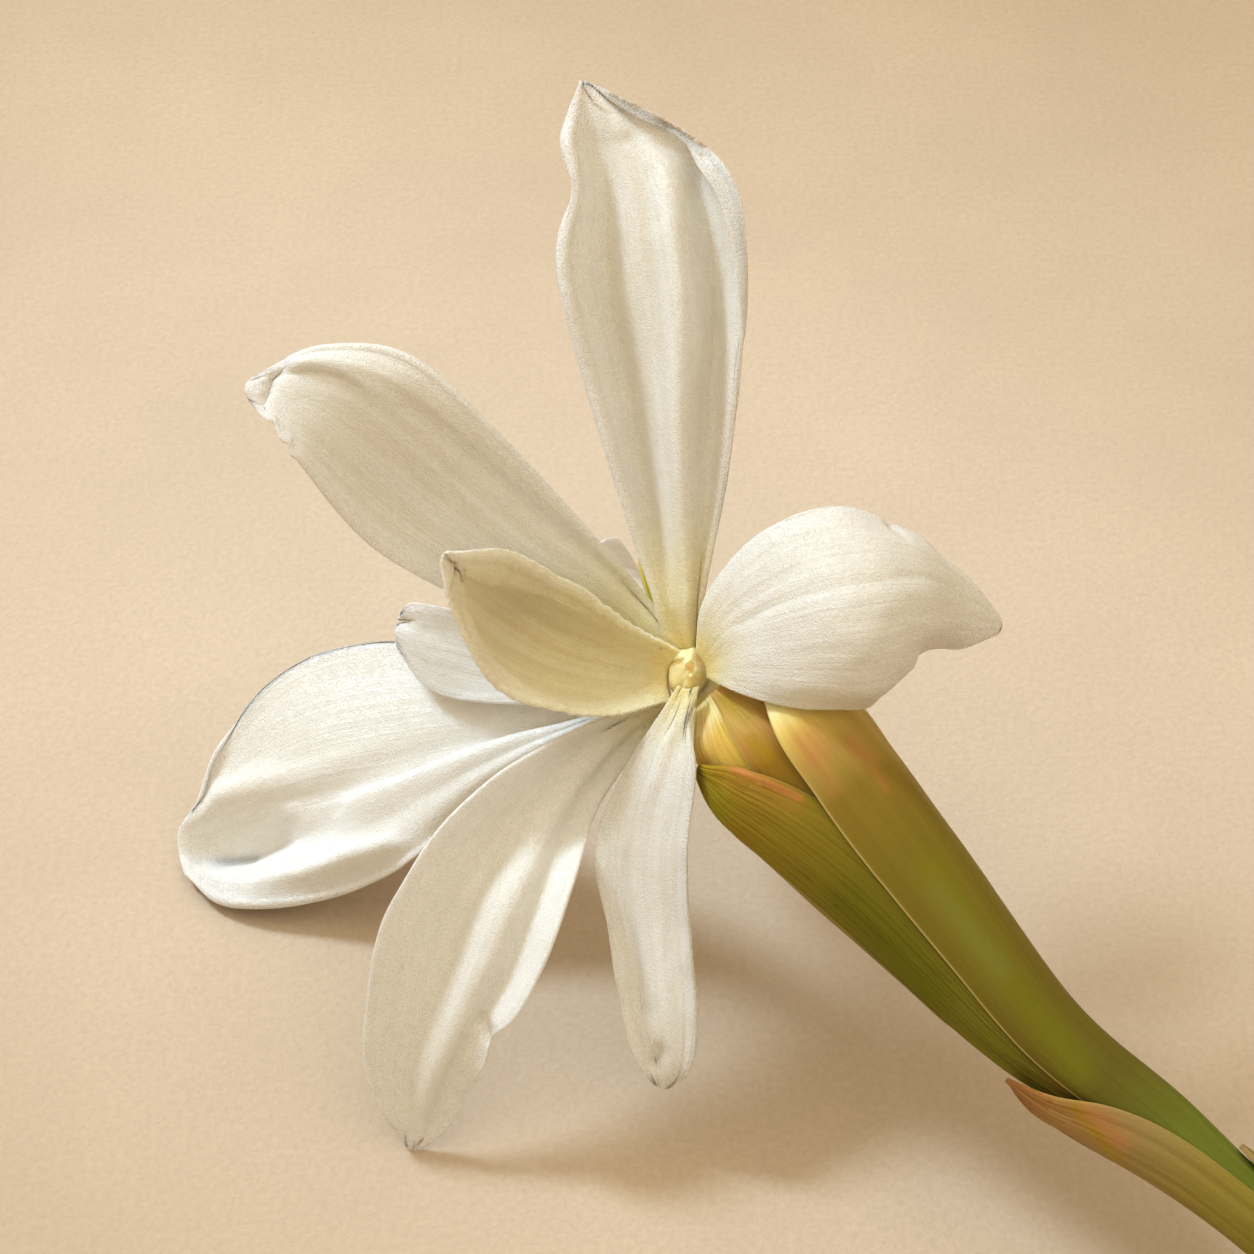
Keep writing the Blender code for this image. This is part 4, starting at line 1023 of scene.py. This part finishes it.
def bract_relief(seed, share, along, ridge_height):
    """Ridges, wrinkles and pressed-down margins of a bract, as heights in millimetres."""
    ridges = relief(BRACT_RIDGES, share, along, seed)
    ridges += 0.5 * relief(FINE_RIDGES, share, along, seed + 1)
    wrinkles = relief(BRACT_WRINKLES, share, along, seed + 2)
    margin = 1 - np.minimum(ease(0, BRACT_HEM, share), ease(0, BRACT_HEM, 1 - share))
    return ridge_height * ridges + WRINKLE_HEIGHT * wrinkles - BRACT_HUG * margin


def make_bract(name):
    """Shape one bract and give it its finish."""
    sizes = bpy.context.scene.flower_sizes
    design = BRACTS[name]
    piece = take_blank(name)
    across, along = lattice()
    along = along ** BRACT_CROWDING
    share = across / 2 + 0.5
    thick, thin = sizes.bract_thickness / MM, sizes.bract_margin / MM
    distances = design["tip"] + along * (design["foot"] - design["tip"])
    left = smooth_table(design["left"], distances)
    right = smooth_table(design["right"], distances)
    radii = bract_radius(design, share, distances) - thick / 2
    radii += bract_relief(design["seed"], share, along, sizes.ridge_height / MM)
    turns = left + (right - left) * share
    front = ease(*STAIN_SIDE, np.cos(np.radians(turns)))
    middle = around_axis(distances.ravel(), radii.ravel(), turns.ravel()).reshape(*along.shape, 3)
    margin = np.maximum(np.abs(across) ** 6, 1 - ease(0, 0.1, along))
    masks = {"down": along, **bract_stains_and_painted_light(design, middle, front)}
    write_sheet(piece, middle, thick + (thin - thick) * margin, across, masks)
    finish_piece(piece, f"{name}_leaf", bract_material(name, design), design["slot"], name)


def add_rod(rings, sides):
    """Make an upright rod of radius one and height one, with rings of faces on its top."""
    deselect_all()
    bpy.ops.mesh.primitive_circle_add(vertices=sides, radius=1, fill_type="NGON")
    rod = bpy.context.object
    bpy.ops.object.mode_set(mode="EDIT")
    for _ in range(rings):
        bpy.ops.mesh.extrude_region_move(TRANSFORM_OT_translate={"value": (0, 0, 1 / rings)})
    for _ in range(CAP_RINGS):
        bpy.ops.mesh.inset(thickness=1 / (CAP_RINGS + 1))
    bpy.ops.object.mode_set(mode="OBJECT")
    return rod


def read_rod(rod):
    """Give the turn, the share of the radius and the place along the rod of each point."""
    x, y, z = read_points(rod)
    return np.arctan2(y, x), np.hypot(x, y), z


def make_throat():
    """Shape the throat: a ragged hollow collar, and the tube that runs on inside the sheath."""
    rod = add_rod(*THROAT_ROD)
    turn, share, place = read_rod(rod)
    distances = THROAT_LENGTH * (1 - place)
    centres = curve_at(THROAT_ROUTE, distances)
    along = heading(THROAT_ROUTE, distances)
    side = unit(np.cross(THROAT_REFERENCE, along))
    front = np.cross(along, side)
    mouth = 1 - ease(*MOUTH_FADE, distances)
    around = turn / np.pi
    lumps = relief(THROAT_FOLDS, around, distances, 5)
    lumps += 0.5 * relief(THROAT_CREASES, around, distances, 6)
    radii = smooth_table(THROAT_PROFILE, distances) * (1 + THROAT_LUMPS * mouth * lumps) * share
    hollow = mouth * (1 - share ** 3) * COLLAR_DEPTH
    offset = front * (np.cos(turn) * radii)[:, None] + side * (np.sin(turn) * radii)[:, None]
    offset[:, 1] *= 1 + COLLAR_STRETCH * mouth
    lean = COLLAR_LEAN * mouth * relief(THROAT_RIM, around, distances, 9) * share
    points = centres + offset + along * (hollow + lean)[:, None]
    write_shape(rod, to_frame(points), around, place)
    add_attribute(rod, "deep", mouth * (1 - share ** 2))
    finish_piece(rod, "throat_collar", throat_material(), "throat", "throat")


def make_stem():
    """Shape the stem, from inside the sheath to its cut end on the surface."""
    rod = add_rod(*STEM_ROD)
    turn, share, place = read_rod(rod)
    distances = STEM_TOP + (STEM_END - STEM_TOP) * place
    ribs = STEM_RIBS * relief(STEM_LINES, turn / np.pi, place, 8)
    radii = (smooth_table(STEM_PROFILE, distances) + ribs - STEM_SKIN) * share
    points = around_axis(distances, radii, np.degrees(turn))
    write_shape(rod, to_frame(points), turn / np.pi, place)
    add_attribute(rod, "cut", (share < CUT_EDGE) * ease(0.99, 1.0, place))
    finish_piece(rod, "cut_stem", stem_material(), "stem", "stem", angle=40)


# --- Shader node helpers -----------------------------------------------------------------------

class Nodes:
    """Adds nodes to a tree; an input is either a plain value or the socket that feeds it."""

    def __init__(self, tree):
        self.tree = tree

    def add(self, kind, inputs=None, **settings):
        """Add a node, set it up and feed its inputs."""
        node = self.tree.nodes.new(kind)
        for key, value in settings.items():
            setattr(node, key, value)
        for key, value in (inputs or {}).items():
            self.feed(node.inputs[key], value)
        return node

    def feed(self, socket, value):
        """Link a socket to another, or give it a plain value."""
        if isinstance(value, bpy.types.NodeSocket):
            self.tree.links.new(value, socket)
        else:
            socket.default_value = value

    def math(self, operation, first, second=0.0, clamp=False):
        """One sum of two numbers."""
        return self.add("ShaderNodeMath", {0: first, 1: second}, operation=operation,
                        use_clamp=clamp).outputs[0]

    def times(self, first, second):
        """The product of two numbers."""
        return self.math("MULTIPLY", first, second)

    def noise(self, vector, scale, detail=2.0, roughness=0.5, distortion=0.0):
        """Soft random clouds."""
        inputs = {"Vector": vector, "Scale": scale, "Detail": detail, "Roughness": roughness,
                  "Distortion": distortion}
        return self.add("ShaderNodeTexNoise", inputs).outputs["Fac"]

    def span(self, value, low, high, to_low=0.0, to_high=1.0, kind="LINEAR"):
        """Turn the range from low to high into another, level beyond its ends."""
        inputs = {"Value": value, "From Min": low, "From Max": high, "To Min": to_low,
                  "To Max": to_high}
        return self.add("ShaderNodeMapRange", inputs, interpolation_type=kind).outputs["Result"]

    def mix(self, factor, first, second, blend="MIX"):
        """Blend two colours."""
        node = self.add("ShaderNodeMix", data_type="RGBA", blend_type=blend)
        self.feed(node.inputs[0], factor)
        self.feed(node.inputs[6], first)
        self.feed(node.inputs[7], second)
        return node.outputs[2]

    def group(self, tree, inputs):
        """Add a node group and feed its inputs."""
        node = self.add("ShaderNodeGroup", node_tree=tree)
        for key, value in inputs.items():
            self.feed(node.inputs[key], value)
        return node


def rgba(colour, gain=1.0):
    """A colour with alpha, made brighter or darker by gain."""
    return (*(min(1.0, channel * gain) for channel in colour), 1.0)


def new_group(name, inputs, outputs):
    """Start a node group with named sockets, each given as (name, kind, default)."""
    group = bpy.data.node_groups.new(name, "ShaderNodeTree")
    for label, kind, default in inputs:
        socket = group.interface.new_socket(name=label, in_out="INPUT",
                                            socket_type=f"NodeSocket{kind}")
        socket.default_value = default
    for label in outputs:
        group.interface.new_socket(name=label, in_out="OUTPUT", socket_type="NodeSocketFloat")
    nodes = Nodes(group)
    return group, nodes, nodes.add("NodeGroupInput"), nodes.add("NodeGroupOutput")


def fibre_group():
    """Long fine lines that run along a petal or a bract, in the piece's own UV map."""
    if "Fibres" in bpy.data.node_groups:
        return bpy.data.node_groups["Fibres"]
    group, nodes, given, result = new_group(
        "Fibres", [("UV", "Vector", (0, 0, 0)), ("Lines", "Float", 60.0), ("Waver", "Float", 0.5)],
        ["Height", "Broad"])
    lines = nodes.add("ShaderNodeCombineXYZ", {"X": given.outputs["Lines"], "Y": 2.0, "Z": 1.0})
    place = nodes.add("ShaderNodeVectorMath", {0: given.outputs["UV"], 1: lines.outputs[0]},
                      operation="MULTIPLY").outputs[0]
    fine = nodes.noise(place, 1.0, 3.0, 0.6, given.outputs["Waver"])
    broad = nodes.noise(place, 0.28, 2.0, 0.5, given.outputs["Waver"])
    nodes.feed(result.inputs["Height"], nodes.span(fine, 0.3, 0.7))
    nodes.feed(result.inputs["Broad"], nodes.span(broad, 0.32, 0.68, kind="SMOOTHSTEP"))
    return group


def skin_group():
    """The skin's tiny cells: their relief, and the few that glint."""
    if "Skin cells" in bpy.data.node_groups:
        return bpy.data.node_groups["Skin cells"]
    group, nodes, given, result = new_group(
        "Skin cells", [("Vector", "Vector", (0, 0, 0)), ("Cells", "Float", 6000.0)],
        ["Height", "Glint"])
    cells = nodes.add("ShaderNodeTexVoronoi", {"Vector": given.outputs["Vector"],
                                               "Scale": given.outputs["Cells"]})
    tint = nodes.add("ShaderNodeSeparateColor", {"Color": cells.outputs["Color"]}).outputs[0]
    nodes.feed(result.inputs["Height"], nodes.span(cells.outputs["Distance"], 0.0, 0.6, 1.0, 0.0))
    nodes.feed(result.inputs["Glint"], nodes.span(tint, 0.72, 1.0))
    return group


def reach_group():
    """A soft round mask about a place in the frame."""
    if "Reach" in bpy.data.node_groups:
        return bpy.data.node_groups["Reach"]
    group, nodes, given, result = new_group(
        "Reach", [("Vector", "Vector", (0, 0, 0)), ("Centre", "Vector", (0, 0, 0)),
                  ("Near", "Float", 0.002), ("Far", "Float", 0.02)], ["Mask"])
    away = nodes.add("ShaderNodeVectorMath", {0: given.outputs["Vector"], 1: given.outputs["Centre"]},
                     operation="DISTANCE").outputs["Value"]
    mask = nodes.span(away, given.outputs["Near"], given.outputs["Far"], 1.0, 0.0, "SMOOTHERSTEP")
    nodes.feed(result.inputs["Mask"], mask)
    return group


def new_material(name):
    """Start a material, and give its node helper, its UV map and its Object coordinates."""
    material = bpy.data.materials.new(name)
    material.use_nodes = True
    nodes = Nodes(material.node_tree)
    places = nodes.add("ShaderNodeTexCoord")
    return material, nodes, places.outputs["UV"], places.outputs["Object"]


def attribute(nodes, name):
    """Read one of a piece's attributes."""
    return nodes.add("ShaderNodeAttribute", attribute_name=name).outputs["Fac"]


def finish_material(material, nodes, colour, roughness, bumps, **constants):
    """Feed the shader; bumps are (height, distance, strength), and a constant holds all over."""
    shader = material.node_tree.nodes["Principled BSDF"]
    nodes.feed(shader.inputs["Base Color"], colour)
    nodes.feed(shader.inputs["Roughness"], roughness)
    height, distance, strength = bumps
    bump = nodes.add("ShaderNodeBump", {"Height": height, "Distance": distance, "Strength": strength})
    nodes.feed(shader.inputs["Normal"], bump.outputs[0])
    for label, value in constants.items():
        shader.inputs[label.replace("_", " ")].default_value = value
    return material


# --- Finishes ------------------------------------------------------------------------------------

def petal_material(name, design):
    """Waxy white petal: warm towards the throat, faintly veined, with brown where it has dried."""
    colours = bpy.context.scene.flower_colours
    material, nodes, uv, position = new_material(f"{name}_skin")
    fibres = nodes.group(fibre_group(), {"UV": uv, "Lines": 58.0, "Waver": 0.35}).outputs
    skin = nodes.group(skin_group(), {"Vector": position, "Cells": 5200.0}).outputs
    broad = attribute(nodes, "broad")

    def near_throat(reach, share):
        mask = nodes.group(reach_group(), {"Vector": position, "Centre": tuple(THROAT),
                                           "Near": THROAT_NEAR, "Far": reach})
        return nodes.times(mask.outputs["Mask"], share)

    # A petal's tint multiplies its white; on the hooded petal it is painted shade.
    white = rgba([a * b for a, b in zip(colours.petal, design["tint"])])
    clouds = nodes.noise(position, 140.0, 3.0)
    body = nodes.mix(nodes.span(clouds, 0.35, 0.7, 0.0, 0.3), white, rgba(colours.petal, 0.93))
    warmth = near_throat(design["warm_reach"], design["warmth"])
    body = nodes.mix(warmth, body, rgba(colours.petal_warm))
    body = nodes.mix(near_throat(BASE_REACH, BASE_SHARE), body, rgba(colours.throat))
    veins = nodes.times(nodes.times(fibres["Broad"], broad), design["vein_tint"])
    body = nodes.mix(veins, body, rgba(VEIN_SHADE), "MULTIPLY")
    patchy = nodes.span(nodes.noise(position, 1500.0, 3.0), 0.35, 0.6, 0.45, 1.0)
    dried = nodes.math("MULTIPLY", attribute(nodes, "wilt"), patchy, clamp=True)
    body = nodes.mix(dried, body, rgba(colours.wilt))
    rough = nodes.math("SUBTRACT", nodes.span(clouds, 0.3, 0.7, 0.44, 0.52),
                       nodes.times(skin["Glint"], 0.14))
    lines = nodes.times(nodes.times(fibres["Height"], 0.8), broad)
    height = nodes.math("ADD", lines, nodes.times(skin["Height"], 0.8))
    return finish_material(material, nodes, body, rough, (height, 0.00013, 0.9),
                           Subsurface_Weight=0.8, Subsurface_Radius=(1.0, 0.96, 0.9),
                           Subsurface_Scale=0.0011, Specular_IOR_Level=0.45)


def bract_material(name, design):
    """Leafy bract: colours from tip to foot, streaks, stains and pale thin margins; a painted sheen and
    painted shade are drawn among the stains.
    """
    colours = bpy.context.scene.flower_colours
    material, nodes, uv, position = new_material(f"{name}_skin")
    fibres = nodes.group(fibre_group(), {"UV": uv, "Lines": 90.0, "Waver": 0.25}).outputs
    skin = nodes.group(skin_group(), {"Vector": position, "Cells": 4200.0}).outputs
    down = attribute(nodes, "down")
    bands = design["bands"]
    body = rgba(bands[0][1])
    for (low, _), (high, colour) in zip(bands, bands[1:]):
        body = nodes.mix(nodes.span(down, low, high), body, rgba(colour))
    streaky = nodes.span(fibres["Broad"], 0.1, 0.9, 0.55, 1.0)
    # Stains, with a painted sheen and painted shade among them on the outer bracts.
    for colour in dict.fromkeys(stain[0] for stain in design["stains"]):
        mask = nodes.times(attribute(nodes, colour), streaky)
        body = nodes.mix(mask, body, rgba(getattr(colours, colour)))
    body = nodes.mix(nodes.times(fibres["Broad"], 0.45), body, rgba(STREAK_SHADE), "MULTIPLY")
    across = nodes.add("ShaderNodeSeparateXYZ", {"Vector": uv}).outputs[0]
    edge = nodes.math("ABSOLUTE", nodes.math("SUBTRACT", across, 0.5))
    margin = nodes.span(edge, 0.5 - BRACT_RIM, 0.5, kind="SMOOTHSTEP")
    body = nodes.mix(nodes.times(margin, 0.8), body, rgba(colours.pale))
    clouds = nodes.noise(position, 300.0, 3.0)
    rough = nodes.math("SUBTRACT", nodes.span(clouds, 0.3, 0.7, 0.38, 0.5),
                       nodes.times(skin["Glint"], 0.15))
    height = nodes.math("ADD", nodes.times(fibres["Height"], 0.8), nodes.times(skin["Height"], 0.3))
    return finish_material(material, nodes, body, rough, (height, 0.00006, 0.6),
                           Subsurface_Weight=0.2, Subsurface_Radius=(1.0, 0.7, 0.2),
                           Subsurface_Scale=0.0008, Specular_IOR_Level=0.14)


def throat_material():
    """Cream outside and yellow within, moist and creased."""
    colours = bpy.context.scene.flower_colours
    material, nodes, _, position = new_material("throat_skin")
    clouds = nodes.noise(position, 900.0, 3.0)
    body = nodes.mix(nodes.span(clouds, 0.38, 0.62, 0.0, 0.4), rgba(colours.petal_warm, 1.05),
                     rgba(colours.throat))
    deep = nodes.span(attribute(nodes, "deep"), 0.3, 1.0, 0.0, 0.6)
    body = nodes.mix(deep, body, rgba(colours.throat))
    creases = nodes.noise(position, 1700.0, 2.0, distortion=1.5)
    body = nodes.mix(nodes.span(creases, 0.6, 0.7, 0.0, 0.2), body, rgba(colours.tan_gold))
    return finish_material(material, nodes, body, nodes.span(clouds, 0.3, 0.7, 0.35, 0.5),
                           (clouds, 0.0002, 0.6), Subsurface_Weight=0.6,
                           Subsurface_Radius=(1.0, 0.7, 0.25), Subsurface_Scale=0.001)


def stem_material():
    """Smooth green stem with fine lines and a pale, moist cut end."""
    colours = bpy.context.scene.flower_colours
    material, nodes, uv, position = new_material("stem_skin")
    fibres = nodes.group(fibre_group(), {"UV": uv, "Lines": 90.0, "Waver": 0.2}).outputs
    body = nodes.mix(nodes.times(fibres["Broad"], 0.35), rgba(colours.olive), rgba(colours.pale))
    flesh = nodes.mix(nodes.span(nodes.noise(position, 2600.0, 2.0), 0.4, 0.6), rgba(colours.pale),
                      rgba(colours.tan))
    body = nodes.mix(attribute(nodes, "cut"), body, flesh)
    rough = nodes.span(fibres["Broad"], 0.0, 1.0, 0.36, 0.48)
    return finish_material(material, nodes, body, rough, (fibres["Height"], 0.00006, 0.6),
                           Subsurface_Weight=0.2, Subsurface_Radius=(0.8, 1.0, 0.2),
                           Subsurface_Scale=0.001)


def floor_material():
    """Plain pale paper with a faint tooth."""
    look = bpy.context.scene.stage_look
    material, nodes, _, position = new_material("floor_paper")
    clouds = nodes.noise(position, 18.0, 4.0, 0.6)
    tooth = nodes.noise(position, 1400.0, 3.0, 0.65)
    body = nodes.mix(nodes.span(clouds, 0.3, 0.7), rgba(look.floor_colour, 0.95),
                     rgba(look.floor_colour, 1.06))
    body = nodes.mix(nodes.span(tooth, 0.3, 0.7, 0.0, 0.4), body, rgba(look.floor_colour, 0.8))
    return finish_material(material, nodes, body, nodes.span(tooth, 0.3, 0.7, 0.75, 0.9),
                           (tooth, 0.00016, 0.6), Specular_IOR_Level=0.2)


# --- The stage -----------------------------------------------------------------------------------

def aim(thing, place, target):
    """Put a camera or a light at a place, looking at a target."""
    thing.location = place
    thing.rotation_euler = Vector(target - place).to_track_quat("-Z", "Y").to_euler()


def make_floor():
    """Lay a plain floor under the flower."""
    deselect_all()
    bpy.ops.mesh.primitive_plane_add(size=FLOOR_SIZE, location=(0, 0, 0))
    floor = bpy.context.object
    floor.name = "floor"
    floor.data.materials.append(floor_material())


def make_lights():
    """One soft main light from behind on the left, and even light from all sides."""
    look = bpy.context.scene.stage_look
    lamp = bpy.data.lights.new("key", "SPOT")
    lamp.energy = look.key_power
    lamp.color = look.key_colour
    lamp.shadow_soft_size = look.key_size / 2
    lamp.spot_size = KEY_CONE
    lamp.spot_blend = 1.0
    key = bpy.data.objects.new("key", lamp)
    bpy.context.collection.objects.link(key)
    target = THROAT + np.array(KEY_TARGET) * MM
    aim(key, target + unit(np.array(KEY_DIRECTION)) * look.key_distance, target)
    world = bpy.data.worlds.new("soft_light")
    world.use_nodes = True
    nodes = Nodes(world.node_tree)
    towards = nodes.add("ShaderNodeTexCoord").outputs["Generated"]
    height = nodes.add("ShaderNodeSeparateXYZ", {"Vector": towards}).outputs["Z"]
    background = world.node_tree.nodes["Background"]
    seen = nodes.add("ShaderNodeLightPath").outputs["Is Camera Ray"]
    glow = nodes.mix(nodes.span(height, 0.0, 1.0), rgba(look.wall_colour), rgba(look.sky_colour))
    nodes.feed(background.inputs["Color"], nodes.mix(seen, glow, rgba(look.backdrop_colour)))
    background.inputs["Strength"].default_value = look.sky_strength
    bpy.context.scene.world = world


def make_camera():
    """Look down on the face of the flower."""
    look = bpy.context.scene.stage_look
    lens = bpy.data.cameras.new("camera")
    lens.lens = CAMERA_LENS
    lens.sensor_width = CAMERA_SENSOR
    camera = bpy.data.objects.new("camera", lens)
    bpy.context.collection.objects.link(camera)
    target = THROAT + np.array(CAMERA_AIM) * MM
    back = np.array([0, -math.cos(look.camera_elevation), math.sin(look.camera_elevation)])
    aim(camera, target + back * look.camera_distance, target)
    bpy.context.scene.camera = camera
    view = bpy.context.scene.view_settings
    view.view_transform = "Standard"
    view.gamma = VIEW_GAMMA


# --- Operators and panel ---------------------------------------------------------------------------

class FLOWER_OT_petal(bpy.types.Operator):
    """Make one petal, or the small bract behind the petals"""

    bl_idname = "flower.petal"
    bl_label = "Petal"
    piece: EnumProperty(name="Piece", description="Which petal to make",
                        items=[(name, name.replace("_", " "), "") for name in PETALS])

    def execute(self, context):
        make_petal(self.piece)
        return {"FINISHED"}


class FLOWER_OT_throat(bpy.types.Operator):
    """Make the throat that the petals spring from"""

    bl_idname = "flower.throat"
    bl_label = "Throat"

    def execute(self, context):
        make_throat()
        return {"FINISHED"}


class FLOWER_OT_bract(bpy.types.Operator):
    """Make one bract of the sheath"""

    bl_idname = "flower.bract"
    bl_label = "Bract"
    piece: EnumProperty(name="Piece", description="Which bract to make",
                        items=[(name, name.replace("_", " "), "") for name in BRACTS])

    def execute(self, context):
        make_bract(self.piece)
        return {"FINISHED"}


class FLOWER_OT_stem(bpy.types.Operator):
    """Make the stem and its cut end"""

    bl_idname = "flower.stem"
    bl_label = "Stem"

    def execute(self, context):
        make_stem()
        return {"FINISHED"}


class FLOWER_OT_stage(bpy.types.Operator):
    """Set the floor, the lights and the camera"""

    bl_idname = "flower.stage"
    bl_label = "Stage"

    def execute(self, context):
        make_floor()
        make_lights()
        make_camera()
        return {"FINISHED"}


class FLOWER_PT_panel(bpy.types.Panel):
    """The flower's pieces, sizes and colours"""

    bl_idname = "FLOWER_PT_panel"
    bl_label = "Ginger flower"
    bl_space_type = "VIEW_3D"
    bl_region_type = "UI"
    bl_category = "Flower"

    def draw(self, context):
        layout = self.layout
        for operator in OPERATORS:
            layout.operator(operator.bl_idname)
        for name in GROUPS:
            group = getattr(context.scene, name)
            for label in group.__annotations__:
                layout.prop(group, label)


OPERATORS = (FLOWER_OT_petal, FLOWER_OT_throat, FLOWER_OT_bract, FLOWER_OT_stem, FLOWER_OT_stage)
GROUPS = {"flower_sizes": FlowerSizes, "flower_colours": FlowerColours, "stage_look": StageLook}
CLASSES = (*GROUPS.values(), *OPERATORS, FLOWER_PT_panel)


def register():
    """Add the classes, and the settings that each scene holds."""
    for part in CLASSES:
        bpy.utils.register_class(part)
    for name, group in GROUPS.items():
        setattr(bpy.types.Scene, name, PointerProperty(type=group))


def unregister():
    """Take away what register added."""
    for name in GROUPS:
        delattr(bpy.types.Scene, name)
    for part in reversed(CLASSES):
        bpy.utils.unregister_class(part)


def main():
    """Make the stage and every piece."""
    register()
    bpy.ops.flower.stage()
    for name in PETALS:
        bpy.ops.flower.petal(piece=name)
    bpy.ops.flower.throat()
    for name in BRACTS:
        bpy.ops.flower.bract(piece=name)
    bpy.ops.flower.stem()


if __name__ == "__main__":
    main()
